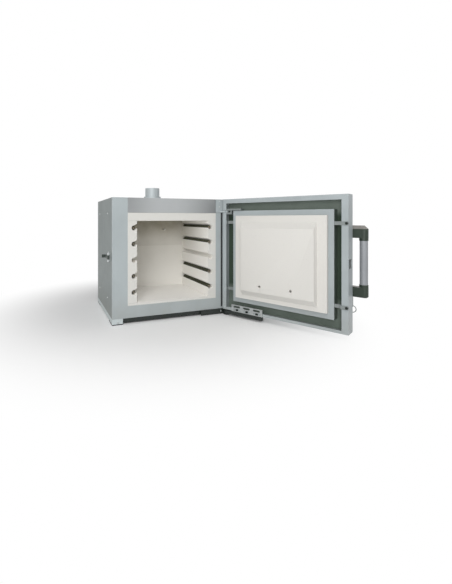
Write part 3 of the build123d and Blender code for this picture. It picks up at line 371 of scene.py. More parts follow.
def powder_coat(name, base, roughness=0.42, wear=0.35, dust=0.35, sides=None):
    """Painted sheet: a fine orange peel, faint clouds, a dusty colour low down and rubbed patches.

    The faces that don't look inward from the door can have a colour of their own, which is painted
    shade.
    """
    finish = Finish(name)
    clouds = finish.tinted(base, 0.05, 7)
    if sides is not None:
        facing = finish.node("NewGeometry", {}, output="Normal")
        inward = finish.node(
            "VectorMath", {"operation": "DOT_PRODUCT"}, facing, DOOR_INWARD, output="Value"
        )
        clouds = finish.mix(finish.between(inward, 0.4, 0.8), sides, clouds)
    low_dust = finish.noise(38, 5) * (1 - finish.between(finish.axis("Z"), *DUSTY_FOOT))
    dusty = finish.mix(low_dust * dust, clouds, shade(*PAINT_DUST))
    rubbed = finish.between(finish.noise(90, 6, 0.7), 0.66, 0.74) * wear
    marked = finish.mix(rubbed * 0.3, dusty, scaled(base, 1.25))
    peel = finish.noise(900, 2)
    ripple = finish.noise(9, 2)
    finish.set(
        Base_Color=marked,
        Roughness=roughness + rubbed * 0.18 + (finish.noise(24) - 0.5) * 0.12,
        Metallic=0.0,
        Normal=finish.bump(peel, 0.00012, 0.5, finish.bump(ripple, 0.0012, 0.35)),
    )
    return finish.material


def brushed(name, base, lines, roughness, painted_shade=None, metallic=1.0):
    """Rolled or brushed steel with fine lines and finger marks, and painted shade laid by a mask if one
    is given.
    """
    finish = Finish(name)
    grain = finish.noise(1.0, 4, 0.7, finish.stretched(*lines))
    smears = finish.between(finish.noise(12, 4), 0.45, 0.72)
    body = finish.mix(grain, scaled(base, 0.86), base)
    # Painted shade: the mask darkens the steel towards its ends.
    if painted_shade is not None:
        body = finish.mix(painted_shade(finish), body, scaled(base, 0.55))
    finish.set(
        Base_Color=finish.mix(smears * 0.18, body, scaled(base, 0.8)),
        Roughness=roughness + smears * 0.12 + (grain - 0.5) * 0.16,
        Metallic=metallic,
        Normal=finish.bump(grain, 0.00008, 0.6),
    )
    return finish.material


def header_painted_shade(finish):
    """Steel header's painted shade: lightest in the middle and darkest at its right end, standing in
    for the steel's darker reflections there.
    """
    across = finish.axis("X")
    left = 1 - finish.between(across, *HEADER_SHADE_LEFT)
    right = finish.between(across, *HEADER_SHADE_RIGHT)
    return left * 0.95 + right


def fibre_board(name, base, scorched, scorch_and_painted_light_mask, grit=0.5, mouth=None):
    """Pressed ceramic fibre: matt, with soft pits, fibres and a second colour laid by a mask: scorching
    with painted shade in the chamber, painted light on the door lining, faint patches elsewhere.
    """
    finish = Finish(name)
    fibres = finish.noise(1.0, 6, 0.75, finish.stretched(420, 900, 420))
    pits = finish.between(finish.noise(160, 5, 0.65), 0.55, 0.75)
    clouds = finish.noise(11, 4)
    plain = base
    # Painted shade: the mouth's front face takes its darker colour.
    if mouth is not None:
        plain = finish.mix(finish.between(finish.axis("Y"), *SHADED_MOUTH_FACE), mouth, base)
    scorch_and_light_mixed = finish.mix(scorch_and_painted_light_mask(finish) * (0.7 + clouds * 0.6), plain, scorched)
    specked = finish.mix(pits * 0.22, scorch_and_light_mixed, scaled(base, 0.72))
    finish.set(
        Base_Color=finish.mix(fibres * 0.16, specked, scaled(base, 1.06)),
        Roughness=0.92,
        Metallic=0.0,
        Specular_IOR_Level=0.2,
        Normal=finish.bump(fibres, 0.0006, grit, finish.bump(clouds, 0.004, 0.25)),
    )
    return finish.material


def cool(finish):
    """Hardly heated fibre."""
    return finish.between(finish.noise(5), 0.6, 0.9) * 0.12


def chamber_scorch_and_shade(finish):
    """Fibre of the chamber: darker towards the back and the roof, partly scorching and partly painted
    shade of the chamber's depth.
    """
    deep = finish.between(finish.axis("Y"), *CHAMBER_SHADE_DEPTH)
    high = finish.between(finish.axis("Z"), *CHAMBER_SHADE_HEIGHT)
    return deep * (0.1 + high * 0.42)


def back_scorch_and_shade(finish):
    """Upper back board: darker all over and most at its top, as painted shade under the roof with some
    scorching.
    """
    return 0.45 + finish.between(finish.axis("Z"), *UPPER_BACK_SHADE) * 0.5


def lower_back_scorch_and_shade(finish):
    """Lower back board: hardly darker at the floor and more at its top, as painted shade from the roof
    with some scorching.
    """
    return 0.14 + finish.between(finish.axis("Z"), *LOWER_BACK_SHADE) * 0.2


def lining_rim(finish):
    """Door lining's painted light: paler along its top and bottom, where light falls on the board."""
    high = finish.axis("Z")
    bottom = 1 - finish.between(high, *LINING_LIT_BOTTOM)
    return finish.between(high, *LINING_LIT_TOP) + bottom * 0.75


def smooth_ceramic(name, base):
    """Fired ceramic: smooth, slightly stained."""
    finish = Finish(name)
    stain = finish.between(finish.noise(45, 5), 0.5, 0.8)
    finish.set(
        Base_Color=finish.mix(stain * 0.35, finish.tinted(base, 0.05, 60), shade(*CERAMIC_STAIN)),
        Roughness=0.55 + stain * 0.2,
        Metallic=0.0,
        Normal=finish.bump(finish.noise(700, 3), 0.0001, 0.5),
    )
    return finish.material


def oxidised_wire(name, base):
    """Heating wire with a grey green oxide skin."""
    finish = Finish(name)
    scale = finish.noise(240, 5, 0.7)
    finish.set(
        Base_Color=finish.mix(finish.between(scale, 0.35, 0.7), scaled(base, 0.7), base),
        Roughness=0.55 + scale * 0.25,
        Metallic=0.35,
        Normal=finish.bump(scale, 0.0003, 0.5),
    )
    return finish.material


def moulded(name, base, roughness, grain=1300, dust=None):
    """Moulded plastic or rubber with a fine grain, and a paler colour on its upper faces if one is
    given, which is a painted highlight.
    """
    finish = Finish(name)
    skin = finish.noise(grain, 2)
    rub = finish.between(finish.noise(30, 5), 0.5, 0.8)
    body = finish.mix(rub * 0.25, base, [min(1, part * 1.5 + 0.01) for part in base[:3]] + [1])
    if dust is not None:
        facing = finish.node("NewGeometry", {}, output="Normal")
        upward = finish.node("SeparateXYZ", {}, facing, output="Z")
        body = finish.mix(finish.between(upward, 0.35, 0.75) * (0.75 + rub * 0.25), body, dust)
    finish.set(
        Base_Color=body,
        Roughness=roughness + rub * 0.12,
        Metallic=0.0,
        Normal=finish.bump(skin, 0.00015, 0.5),
    )
    return finish.material


def turned_metal(name, base, roughness=0.32, metallic=1.0):
    """Plated or turned metal of small fittings, with small dark marks."""
    finish = Finish(name)
    marks = finish.between(finish.noise(320, 5, 0.7), 0.55, 0.8)
    finish.set(
        Base_Color=finish.mix(marks * 0.4, finish.tinted(base, 0.06, 70), scaled(base, 0.55)),
        Roughness=roughness + marks * 0.2,
        Metallic=metallic,
        Normal=finish.bump(finish.noise(1500, 2), 0.00008, 0.5),
    )
    return finish.material


FINISHES = {}


def finish_for(name):
    """The finish of that name, made once from the user's colours."""
    if name in FINISHES:
        return FINISHES[name]
    tints = bpy.context.scene.kiln_colours
    makers = {
        "front paint": lambda: powder_coat("front paint", tints.front),
        "side paint": lambda: powder_coat("side paint", tints.side, roughness=0.5),
        "casing paint": lambda: powder_coat("casing paint", tints.front, sides=tints.casing_side),
        "runner paint": lambda: powder_coat("runner paint", tints.runner, roughness=0.45),
        "header steel": lambda: brushed(
            "header steel", tints.stainless, (3, 520, 520), roughness=0.34, painted_shade=header_painted_shade
        ),
        "duct steel": lambda: brushed(
            "duct steel", tints.duct, (520, 520, 6), roughness=0.58, metallic=0.35
        ),
        "plated steel": lambda: turned_metal("plated steel", tints.steel),
        "worn steel": lambda: turned_metal(
            "worn steel", tints.worn_steel, roughness=0.5, metallic=0.5
        ),
        "wall fibre": lambda: fibre_board(
            "wall fibre", tints.fibre, tints.scorched, chamber_scorch_and_shade, mouth=tints.collar
        ),
        "back fibre": lambda: fibre_board("back fibre", tints.fibre, tints.scorched, back_scorch_and_shade),
        "lower back fibre": lambda: fibre_board(
            "lower back fibre", tints.fibre, tints.scorched, lower_back_scorch_and_shade
        ),
        "plug fibre": lambda: fibre_board("plug fibre", tints.plug, tints.scorched, cool),
        "hearth fibre": lambda: fibre_board(
            "hearth fibre", tints.hearth, tints.plug, cool, mouth=tints.collar
        ),
        "lining board": lambda: fibre_board(
            "lining board", tints.lining, tints.lining_rim, lining_rim, grit=0.35
        ),
        "tube ceramic": lambda: smooth_ceramic("tube ceramic", tints.plug),
        "rod ceramic": lambda: smooth_ceramic("rod ceramic", tints.rod),
        "heating wire": lambda: oxidised_wire("heating wire", tints.wire),
        "black paint": lambda: powder_coat(
            "black paint", tints.black, roughness=0.38, wear=0.6, dust=0.0
        ),
        "latch paint": lambda: powder_coat(
            "latch paint", tints.latch, roughness=0.45, wear=0.6, dust=0.0
        ),
        "bracket plastic": lambda: moulded(
            "bracket plastic", tints.bracket, roughness=0.5, dust=tints.dust
        ),
        "grip tube": lambda: brushed(
            "grip tube", tints.grip, (400, 400, 5), roughness=0.55, metallic=0.3
        ),
        "rubber": lambda: moulded("rubber", tints.rubber, roughness=0.8, grain=700),
        "dark bolt": lambda: turned_metal("dark bolt", tints.black, roughness=0.4, metallic=0.6),
        "bronze": lambda: turned_metal("bronze", tints.bronze, roughness=0.35),
    }
    FINISHES[name] = makers[name]()
    return FINISHES[name]


def coat(piece, finish):
    """Gives a piece one finish."""
    piece.data.materials.clear()
    piece.data.materials.append(finish_for(finish))


def body_of(node):
    """The name of the CAD body that holds a node."""
    return frame["nodes"][node]["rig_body"]


def place(mesh, name, body, finish, smooth=30):
    """Makes a finished mesh a piece that moves with a CAD body."""
    piece = bpy.data.objects.new(name, mesh)
    bpy.context.scene.collection.objects.link(piece)
    mesh.shade_smooth()
    mesh.set_sharp_from_angle(angle=math.radians(smooth))
    coat(piece, finish)
    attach(piece, body)
    return piece


def bevel(piece, width, segments=2):
    """Rounds a piece's sharp edges."""
    rounding = piece.modifiers.new("Rounded edges", "BEVEL")
    rounding.width = width
    rounding.segments = segments
    rounding.limit_method = "ANGLE"
    rounding.angle_limit = SHARP_ANGLE
    rounding.harden_normals = True


def merged_copy(node):
    """A copy of a CAD node's mesh with its vertices merged and its flat faces joined."""
    mesh = frame["nodes"][node].data.copy()
    grid = bmesh.new()
    grid.from_mesh(mesh)
    bmesh.ops.remove_doubles(grid, verts=grid.verts, dist=MERGE_DISTANCE)
    bmesh.ops.dissolve_limit(
        grid,
        angle_limit=FLAT_ANGLE,
        verts=grid.verts,
        edges=grid.edges,
        use_dissolve_boundaries=False,
    )
    grid.to_mesh(mesh)
    grid.free()
    return mesh


def dress(node, finish, edge, segments=2):
    """Replaces a CAD node with a copy that has rounded edges and a finish."""
    piece = place(merged_copy(node), node + "_dressed", body_of(node), finish)
    bevel(piece, edge, segments)
    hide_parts(node)


def keep(node, finish):
    """Leaves a CAD node's shape as it is and gives it a finish."""
    coat(frame["nodes"][node], finish)


def solids_of(node):
    """The vertices of each separate solid in a node."""
    grid = bmesh.new()
    grid.from_mesh(frame["nodes"][node].data)
    bmesh.ops.remove_doubles(grid, verts=grid.verts, dist=MERGE_DISTANCE)
    waiting = set(grid.verts)
    found = []
    while waiting:
        island = [waiting.pop()]
        for vertex in island:
            for edge in vertex.link_edges:
                other = edge.other_vert(vertex)
                if other in waiting:
                    waiting.remove(other)
                    island.append(other)
        found.append(np.array([vertex.co[:] for vertex in island]))
    grid.free()
    return found


def seats_of(node, outward=None):
    """Where each fastener of a node sits, which way its head faces and how high it stands."""
    seats = []
    for points in solids_of(node):
        centre = (points.min(0) + points.max(0)) / 2
        spread, axes = np.linalg.eigh(np.cov((points - centre).T))
        way = axes[:, 0]
        towards = np.array(outward) if outward is not None else centre - np.array(HOUSING_MIDDLE)
        if way @ towards < 0:
            way = -way
        reach = (points - centre) @ way
        radius = np.linalg.norm((points - centre) - np.outer(reach, way), axis=1).max()
        seats.append((centre + way * reach.min(), way, reach.max() - reach.min(), radius))
    return seats


def head_mesh(recess):
    """A screw or bolt head of radius 1 and height 1.

    It has a cross or a hexagon recess, or else a flange and a hexagon outside.
    """
    angles = [2 * math.pi * side / HEAD_SIDES for side in range(HEAD_SIDES)]

    def hexagon(angle, radius):
        return radius * math.cos(math.pi / 6) / math.cos((angle % (math.pi / 3)) - math.pi / 6)

    def cross(angle, radius):
        return radius if round(math.degrees(angle)) % 90 == 0 else radius * CROSS_WAIST

    if recess == "hexagon outside":
        rings = [
            (lambda angle: 1.0, 0.0),
            (lambda angle: 1.0, 0.16),
            (lambda angle: 0.96, 0.24),
            (lambda angle: hexagon(angle, HEXAGON_RADIUS), 0.24),
            (lambda angle: hexagon(angle, HEXAGON_RADIUS), 0.9),
            (lambda angle: hexagon(angle, HEXAGON_RADIUS) * 0.93, 1.0),
        ]
    else:
        outline = cross if recess == "cross" else hexagon
        rings = [
            (lambda angle: 1.0, 0.0),
            (lambda angle: 1.0, 0.22),
            (lambda angle: 0.93, 0.55),
            (lambda angle: 0.78, 0.84),
            (lambda angle: 0.6, 1.0),
            (lambda angle: outline(angle, 0.5), 1.0),
            (lambda angle: outline(angle, 0.4), 0.35),
        ]
    grid = bmesh.new()
    loops = []
    for radius_at, height in rings:
        spots = [(radius_at(angle), angle) for angle in angles]
        loops.append(
            [grid.verts.new((r * math.cos(angle), r * math.sin(angle), height)) for r, angle in spots]
        )
    for low, high in zip(loops, loops[1:]):
        for side in range(HEAD_SIDES):
            after = (side + 1) % HEAD_SIDES
            grid.faces.new((low[side], low[after], high[after], high[side]))
    grid.faces.new(list(reversed(loops[0])))
    grid.faces.new(loops[-1])
    mesh = bpy.data.meshes.new("head")
    grid.to_mesh(mesh)
    grid.free()
    return mesh


class Recipe:
    """A geometry node tree with named inputs."""

    def __init__(self, name, inputs):
        self.tree = bpy.data.node_groups.new(name, "GeometryNodeTree")
        self.keys = {}
        for label, kind in {"Geometry": "NodeSocketGeometry", **inputs}.items():
            socket = self.tree.interface.new_socket(label, in_out="INPUT", socket_type=kind)
            self.keys[label] = socket.identifier
        self.tree.interface.new_socket("Geometry", in_out="OUTPUT", socket_type="NodeSocketGeometry")
        self.given = self.tree.nodes.new("NodeGroupInput")
        self.result = self.tree.nodes.new("NodeGroupOutput")

    def step(self, kind, settings=None, **links):
        """Adds a node, sets it and feeds its sockets."""
        node = self.tree.nodes.new(kind)
        for key, value in (settings or {}).items():
            setattr(node, key, value)
        for key, value in links.items():
            label = key.replace("_", " ")
            given = next(entry for entry in node.inputs if entry.enabled and entry.name == label)
            if isinstance(value, bpy.types.NodeSocket):
                self.tree.links.new(value, given)
            else:
                given.default_value = value
        return node

    def run(self, mesh, values, name):
        """The plain mesh that the tree makes from a mesh and input values."""
        helper = bpy.data.objects.new(name, mesh)
        bpy.context.scene.collection.objects.link(helper)
        modifier = helper.modifiers.new(name, "NODES")
        modifier.node_group = self.tree
        for label, value in values.items():
            modifier[self.keys[label]] = value
        graph = bpy.context.evaluated_depsgraph_get()
        made = bpy.data.meshes.new_from_object(helper.evaluated_get(graph))
        helper.modifiers.clear()
        bpy.data.objects.remove(helper)
        made.name = name
        return made


def heads_recipe():
    """Sets one head on each point, facing its outward direction, with a turn from a fixed seed."""
    recipe = Recipe(
        "Fastener heads",
        {
            "Head": "NodeSocketObject",
            "Radius": "NodeSocketFloat",
            "Height": "NodeSocketFloat",
            "Seed": "NodeSocketInt",
            "Finish": "NodeSocketMaterial",
        },
    )
    given = recipe.given.outputs
    head = recipe.step("GeometryNodeObjectInfo", Object=given["Head"])
    way = recipe.step("GeometryNodeInputNamedAttribute", {"data_type": "FLOAT_VECTOR"}, Name="outward")
    facing = recipe.step(
        "FunctionNodeAlignRotationToVector", {"axis": "Z"}, Vector=way.outputs["Attribute"]
    )
    turn = recipe.step(
        "FunctionNodeRandomValue", {"data_type": "FLOAT"}, Min=0.0, Max=math.tau, Seed=given["Seed"]
    )
    spin = recipe.step(
        "FunctionNodeAxisAngleToRotation",
        Axis=(0, 0, 1),
        Angle=next(socket for socket in turn.outputs if socket.enabled),
    )
    turned = recipe.step(
        "FunctionNodeRotateRotation",
        {"rotation_space": "LOCAL"},
        Rotation=facing.outputs[0],
        Rotate_By=spin.outputs[0],
    )
    size = recipe.step("ShaderNodeCombineXYZ", X=given["Radius"], Y=given["Radius"], Z=given["Height"])
    heads = recipe.step(
        "GeometryNodeInstanceOnPoints",
        Points=given["Geometry"],
        Instance=head.outputs["Geometry"],
        Rotation=turned.outputs[0],
        Scale=size.outputs[0],
    )
    real = recipe.step("GeometryNodeRealizeInstances", Geometry=heads.outputs[0])
    coated = recipe.step("GeometryNodeSetMaterial", Geometry=real.outputs[0], Material=given["Finish"])
    recipe.tree.links.new(coated.outputs[0], recipe.result.inputs[0])
    return recipe


def set_heads(node, kind, finish, outward=None, seed=3):
    """Replaces a node of plain fasteners with detailed heads in the same seats."""
    seats = seats_of(node, outward)
    points = bpy.data.meshes.new(node + "_points")
    points.from_pydata([seat[0] for seat in seats], [], [])
    ways = points.attributes.new("outward", "FLOAT_VECTOR", "POINT")
    for item, seat in zip(ways.data, seats):
        item.vector = seat[1]
    head = bpy.data.objects.new(node + "_head", head_mesh(kind))
    values = {
        "Head": head,
        "Radius": float(np.mean([seat[3] for seat in seats])),
        "Height": float(np.mean([seat[2] for seat in seats])),
        "Seed": seed,
        "Finish": finish_for(finish),
    }
    made = heads_recipe().run(points, values, node + "_heads")
    piece = place(made, node + "_heads", body_of(node), finish)
    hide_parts(node)
    bpy.data.objects.remove(head)


def coil_recipe():
    """Winds wire round a rod that starts at each point and runs towards the back."""
    recipe = Recipe(
        "Heating coil",
        {
            "Coil radius": "NodeSocketFloat",
            "Wire radius": "NodeSocketFloat",
            "Length": "NodeSocketFloat",
            "Turns": "NodeSocketFloat",
            "Finish": "NodeSocketMaterial",
        },
    )
    given = recipe.given.outputs
    spiral = recipe.step(
        "GeometryNodeCurveSpiral",
        Resolution=COIL_STEPS,
        Rotations=given["Turns"],
        Start_Radius=given["Coil radius"],
        End_Radius=given["Coil radius"],
        Height=given["Length"],
    )
    round_wire = recipe.step(
        "GeometryNodeCurvePrimitiveCircle", Resolution=WIRE_SIDES, Radius=given["Wire radius"]
    )
    wire = recipe.step(
        "GeometryNodeCurveToMesh",
        Curve=spiral.outputs[0],
        Profile_Curve=round_wire.outputs[0],
        Fill_Caps=True,
    )
    coils = recipe.step(
        "GeometryNodeInstanceOnPoints",
        Points=given["Geometry"],
        Instance=wire.outputs[0],
    )
    lying = recipe.step(
        "GeometryNodeRotateInstances", Instances=coils.outputs[0], Rotation=(-math.pi / 2, 0, 0)
    )
    real = recipe.step("GeometryNodeRealizeInstances", Geometry=lying.outputs[0])
    coated = recipe.step("GeometryNodeSetMaterial", Geometry=real.outputs[0], Material=given["Finish"])
    recipe.tree.links.new(coated.outputs[0], recipe.result.inputs[0])
    return recipe


class KILN_OT_housing(bpy.types.Operator):
    """Folded panels of the housing, the rear cover and the cable gland"""

    bl_idname = "kiln.housing"
    bl_label = "Housing"

    def execute(self, context):
        edge = context.scene.kiln_sizes.sheet_edge
        # The side paint here is painted shade: the front's paint, darkened.
        for node in (
            "left_side_panel",
            "right_side_panel",
            "top_panel",
            "back_panel",
            "rear_cover",
        ):
            dress(node, "side paint", edge * 0.7)
        # Painted shade: the bottom panel takes the black paint, which darkens the gap under the
        # housing.
        keep("bottom_panel", "black paint")
        dress("cable_gland", "rubber", context.scene.kiln_sizes.small_edge)
        return {"FINISHED"}


class KILN_OT_front(bpy.types.Operator):
    """Light front frame with a dark rubber strip on its right column, and the stainless header"""

    bl_idname = "kiln.front"
    bl_label = "Front"

    def execute(self, context):
        edge = context.scene.kiln_sizes.sheet_edge
        dress("front_frame", "front paint", edge, segments=3)
        dress("front_header", "header steel", edge, segments=3)
        dress("column_seal", "rubber", context.scene.kiln_sizes.small_edge)
        return {"FINISHED"}


class KILN_OT_runners(bpy.types.Operator):
    """Runners under the housing and their pads"""

    bl_idname = "kiln.runners"
    bl_label = "Runners"

    def execute(self, context):
        edge = context.scene.kiln_sizes.sheet_edge
        for node in ("left_runner", "right_runner"):
            dress(node, "runner paint", edge * 0.6)
        dress("runner_pads", "rubber", edge * 0.6)
        return {"FINISHED"}


class KILN_OT_chamber(bpy.types.Operator):
    """Fibre boards of the chamber and the boards behind them"""

    bl_idname = "kiln.chamber"
    bl_label = "Chamber"

    def execute(self, context):
        edge = context.scene.kiln_sizes.board_edge
        for node in ("left_grooved_wall", "right_grooved_wall", "ceiling_slab"):
            dress(node, "wall fibre", edge * 0.6)
        dress("floor_slab", "hearth fibre", edge * 0.6)
        dress("back_wall_lower", "lower back fibre", edge * 0.3)
        dress("back_wall_upper", "back fibre", edge * 0.3)
        for node in ("side_backing", "bottom_backing", "top_backing", "rear_backing"):
            keep(node, "wall fibre")
        return {"FINISHED"}


class KILN_OT_heating(bpy.types.Operator):
    """Heating rods: ceramic tubes wound with wire, with their lead pins and terminals"""

    bl_idname = "kiln.heating"
    bl_label = "Heating"

    def execute(self, context):
        sizes = context.scene.kiln_sizes
        keep("support_tubes", "rod ceramic")
        keep("lead_pins", "plated steel")
        dress("terminal_strips", "tube ceramic", sizes.small_edge)
        dress("thermocouple", "tube ceramic", sizes.small_edge)
        recipe = coil_recipe()
        for node in ("left_heating_windings", "right_heating_windings"):
            rods = solids_of(node)
            low = min(points[:, 1].min() for points in rods)
            high = max(points[:, 1].max() for points in rods)
            starts = []
            for points in rods:
                centre = (points.min(0) + points.max(0)) / 2
                starts.append((centre[0], low + sizes.wire_radius, centre[2]))
            mesh = bpy.data.meshes.new(node + "_starts")
            mesh.from_pydata(starts, [], [])
            values = {
                "Coil radius": sizes.coil_radius,
                "Wire radius": sizes.wire_radius,
                "Length": high - low - 2 * sizes.wire_radius,
                "Turns": float(sizes.coil_turns),
                "Finish": finish_for("heating wire"),
            }
            wound = recipe.run(mesh, values, node + "_wound")
            piece = place(wound, node + "_wound", body_of(node), "heating wire", smooth=60)
            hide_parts(node)
        return {"FINISHED"}


class KILN_OT_exhaust(bpy.types.Operator):
    """Exhaust pipe, its collar and its liner"""

    bl_idname = "kiln.exhaust"
    bl_label = "Exhaust"

    def execute(self, context):
        edge = context.scene.kiln_sizes.small_edge
        dress("exhaust_pipe", "duct steel", edge)
        dress("exhaust_collar", "duct steel", edge)
        keep("exhaust_liner", "tube ceramic")
        return {"FINISHED"}


class KILN_OT_door(bpy.types.Operator):
    """Door pan, its dark lining and the latch pocket"""

    bl_idname = "kiln.door"
    bl_label = "Door"

    def execute(self, context):
        edge = context.scene.kiln_sizes.sheet_edge
        dress("door_pan", "front paint", edge * 0.8)
        dress("door_lining", "lining board", edge * 0.5)
        dress("latch_pocket", "plated steel", context.scene.kiln_sizes.small_edge)
        return {"FINISHED"}


class KILN_OT_plug(bpy.types.Operator):
    """Insulated plug: casing, fibre face with its raised panel, sleeves and straps"""

    bl_idname = "kiln.plug"
    bl_label = "Plug"

    def execute(self, context):
        sizes = context.scene.kiln_sizes
        dress("plug_casing", "casing paint", sizes.sheet_edge * 0.5)
        dress("plug_insulation", "plug fibre", sizes.board_edge * 1.6, segments=3)
        dress("air_sleeves", "tube ceramic", sizes.small_edge)
        dress("plug_straps", "worn steel", sizes.small_edge)
        set_heads("strap_bolts", "hexagon outside", "dark bolt", DOOR_INWARD)
        return {"FINISHED"}


class KILN_OT_hinges(bpy.types.Operator):
    """Upper and lower hinge with the slotted adjusting plate"""

    bl_idname = "kiln.hinges"
    bl_label = "Hinges"

    def execute(self, context):
        edge = context.scene.kiln_sizes.small_edge
        dress("upper_hinge_lug", "front paint", edge)
        dress("upper_hinge_fork", "worn steel", edge)
        dress("upper_hinge_bushes", "bronze", edge * 0.5)
        dress("lower_hinge_bracket", "black paint", edge)
        dress("lower_hinge_arm", "black paint", edge * 2)
        dress("lower_hinge_bush", "bronze", edge * 0.5)
        dress("hinge_pins", "plated steel", edge)
        dress("adjusting_plate", "plated steel", edge)
        set_heads("adjusting_bolts", "hexagon outside", "dark bolt", DOOR_INWARD, seed=5)
        return {"FINISHED"}


class KILN_OT_handle(bpy.types.Operator):
    """Handle: two moulded brackets and a tube"""

    bl_idname = "kiln.handle"
    bl_label = "Handle"

    def execute(self, context):
        sizes = context.scene.kiln_sizes
        dress("upper_handle_bracket", "bracket plastic", sizes.bracket_edge, segments=3)
        dress("lower_handle_bracket", "bracket plastic", sizes.bracket_edge, segments=3)
        dress("handle_grip", "grip tube", sizes.small_edge)
        set_heads("handle_screws", "hexagon", "plated steel", -DOOR_INWARD, seed=7)
        return {"FINISHED"}


class KILN_OT_latch(bpy.types.Operator):
    """Latch on the left side"""

    bl_idname = "kiln.latch"
    bl_label = "Latch"

    def execute(self, context):
        edge = context.scene.kiln_sizes.small_edge
        dress("latch_leaf", "plated steel", edge)
        dress("latch_pin", "plated steel", edge)
        dress("latch_arm", "latch paint", edge)
        return {"FINISHED"}


class KILN_OT_air_slide(bpy.types.Operator):
    """Air slide on the outside of the door, with its rails and ring"""

    bl_idname = "kiln.air_slide"
    bl_label = "Air slide"

    def execute(self, context):
        edge = context.scene.kiln_sizes.small_edge
        dress("air_slide", "worn steel", edge)
        dress("slide_rails", "front paint", edge)
        keep("pull_ring", "worn steel")
        return {"FINISHED"}


class KILN_OT_screws(bpy.types.Operator):
    """Screws of the housing"""

    bl_idname = "kiln.screws"
    bl_label = "Screws"

    def execute(self, context):
        set_heads("housing_screws", "cross", "plated steel")
        return {"FINISHED"}


def studio_floor(colour_of_floor):
    """A pale floor that keeps the shadow near the kiln and is seen as white further out."""
    finish = Finish("studio floor")
    camera, glossy, through = (
        finish.node("LightPath", {}, output=f"Is {kind} Ray")
        for kind in ("Camera", "Glossy", "Transmission")
    )
    seen = camera.sum("MAXIMUM", camera.sum("MAXIMUM", camera, glossy), through)
    far = finish.node("VectorMath", {"operation": "LENGTH"}, finish.place, output="Value")
    finish.set(
        Base_Color=finish.tinted(colour_of_floor, 0.004, 1.3),
        Roughness=0.8,
        Specular_IOR_Level=0.1,
        Normal=finish.bump(finish.noise(300, 2), 0.0001, 0.2),
    )
    glow = finish.tree.nodes.new("ShaderNodeEmission")
    glow.inputs["Color"].default_value = (1, 1, 1, 1)
    blend = finish.tree.nodes.new("ShaderNodeMixShader")
    finish.feed(blend.inputs[0], finish.between(far, *SHADOWED_FLOOR) * seen)
    finish.tree.links.new(finish.shader.outputs[0], blend.inputs[1])
    finish.tree.links.new(glow.outputs[0], blend.inputs[2])
    finish.tree.links.new(blend.outputs[0], finish.tree.nodes["Material Output"].inputs[0])
    return finish.material


def white_world(strength):
    """Even light, with a white backdrop for the camera and for reflections."""
    world = bpy.data.worlds.new("studio")
    bpy.context.scene.world = world
    world.use_nodes = True
    tree = world.node_tree
    light = tree.nodes["Background"]
    light.inputs["Color"].default_value = (1, 1, 1, 1)
    light.inputs["Strength"].default_value = strength
    backdrop = tree.nodes.new("ShaderNodeBackground")
    backdrop.inputs["Color"].default_value = (1, 1, 1, 1)
    path = tree.nodes.new("ShaderNodeLightPath")
    seen = path.outputs["Is Camera Ray"]
    for label in ("Is Glossy Ray", "Is Transmission Ray"):
        either = tree.nodes.new("ShaderNodeMath")
        either.operation = "MAXIMUM"
        tree.links.new(seen, either.inputs[0])
        tree.links.new(path.outputs[label], either.inputs[1])
        seen = either.outputs[0]
    blend = tree.nodes.new("ShaderNodeMixShader")
    tree.links.new(seen, blend.inputs[0])
    tree.links.new(light.outputs[0], blend.inputs[1])
    tree.links.new(backdrop.outputs[0], blend.inputs[2])
    tree.links.new(blend.outputs[0], tree.nodes["World Output"].inputs[0])


def soft_light(name, power, across, spot):
    """A round soft light that faces the kiln."""
    lamp = bpy.data.lights.new(name, "AREA")
    lamp.shape = "DISK"
    lamp.size = across
    lamp.energy = power
    light = bpy.data.objects.new(name, lamp)
    light.location = spot
    towards = Vector(LIGHT_TARGET) - light.location
    light.rotation_euler = towards.to_track_quat("-Z", "Y").to_euler()
    bpy.context.scene.collection.objects.link(light)


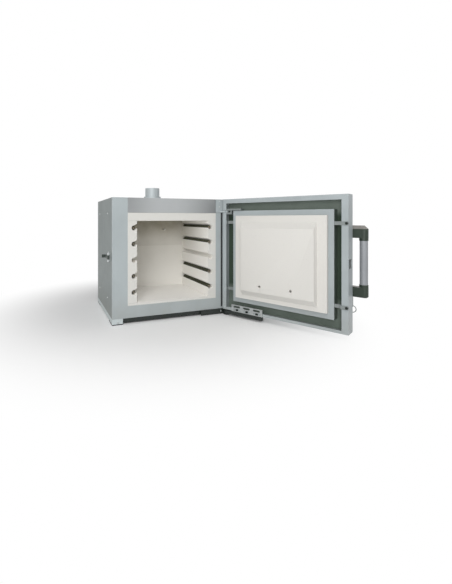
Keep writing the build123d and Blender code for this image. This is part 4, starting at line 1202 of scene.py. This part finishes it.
class KILN_OT_stage(bpy.types.Operator):
    """Floor, backdrop, lights and camera"""

    bl_idname = "kiln.stage"
    bl_label = "Stage"

    def execute(self, context):
        scene = context.scene
        studio = scene.kiln_studio
        grid = bmesh.new()
        bmesh.ops.create_grid(grid, x_segments=8, y_segments=8, size=FLOOR_REACH)
        mesh = bpy.data.meshes.new("floor")
        grid.to_mesh(mesh)
        grid.free()
        floor = bpy.data.objects.new("floor", mesh)
        scene.collection.objects.link(floor)
        mesh.materials.append(studio_floor(studio.floor))
        white_world(studio.world_light)

        soft_light("key", studio.key_power, *KEY_LIGHT)
        soft_light("fill", studio.fill_power, *FILL_LIGHT)

        lens = bpy.data.cameras.new("camera")
        longest = max(FRAME_WIDTH, FRAME_HEIGHT)
        lens.sensor_fit = "AUTO"
        lens.sensor_width = SENSOR_WIDTH
        lens.lens = studio.focal_pixels / longest * SENSOR_WIDTH
        lens.shift_x = (FRAME_WIDTH / 2 - studio.centre_across) / longest
        lens.shift_y = (studio.centre_down - FRAME_HEIGHT / 2) / longest
        lens.clip_start = NEAREST_VIEW
        camera = bpy.data.objects.new("camera", lens)
        camera.location = studio.camera_place
        camera.rotation_euler = (math.pi / 2, 0, -studio.camera_turn)
        scene.collection.objects.link(camera)
        scene.camera = camera
        scene.view_settings.view_transform = "Standard"
        return {"FINISHED"}


OPERATORS = (
    KILN_OT_housing,
    KILN_OT_front,
    KILN_OT_runners,
    KILN_OT_chamber,
    KILN_OT_heating,
    KILN_OT_exhaust,
    KILN_OT_door,
    KILN_OT_plug,
    KILN_OT_hinges,
    KILN_OT_handle,
    KILN_OT_latch,
    KILN_OT_air_slide,
    KILN_OT_screws,
    KILN_OT_stage,
)


class KILN_PT_pieces(bpy.types.Panel):
    """Lists the kiln's pieces"""

    bl_idname = "KILN_PT_pieces"
    bl_label = "Ceramic kiln"
    bl_space_type = "VIEW_3D"
    bl_region_type = "UI"
    bl_category = "Kiln"

    def draw(self, context):
        for operator in OPERATORS:
            self.layout.operator(operator.bl_idname)
        for group in (context.scene.kiln_sizes, context.scene.kiln_colours, context.scene.kiln_studio):
            box = self.layout.box()
            for key in group.__annotations__:
                box.prop(group, key)


CLASSES = (KilnSizes, KilnColours, StudioSettings, *OPERATORS, KILN_PT_pieces)


def register():
    for part in CLASSES:
        bpy.utils.register_class(part)
    bpy.types.Scene.kiln_sizes = PointerProperty(type=KilnSizes)
    bpy.types.Scene.kiln_colours = PointerProperty(type=KilnColours)
    bpy.types.Scene.kiln_studio = PointerProperty(type=StudioSettings)


def unregister():
    del bpy.types.Scene.kiln_studio
    del bpy.types.Scene.kiln_colours
    del bpy.types.Scene.kiln_sizes
    for part in reversed(CLASSES):
        bpy.utils.unregister_class(part)


def main():
    """Registers the add-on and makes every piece."""
    register()
    for operator in OPERATORS:
        group, name = operator.bl_idname.split(".")
        getattr(getattr(bpy.ops, group), name)()


if __name__ == "__main__":
    main()
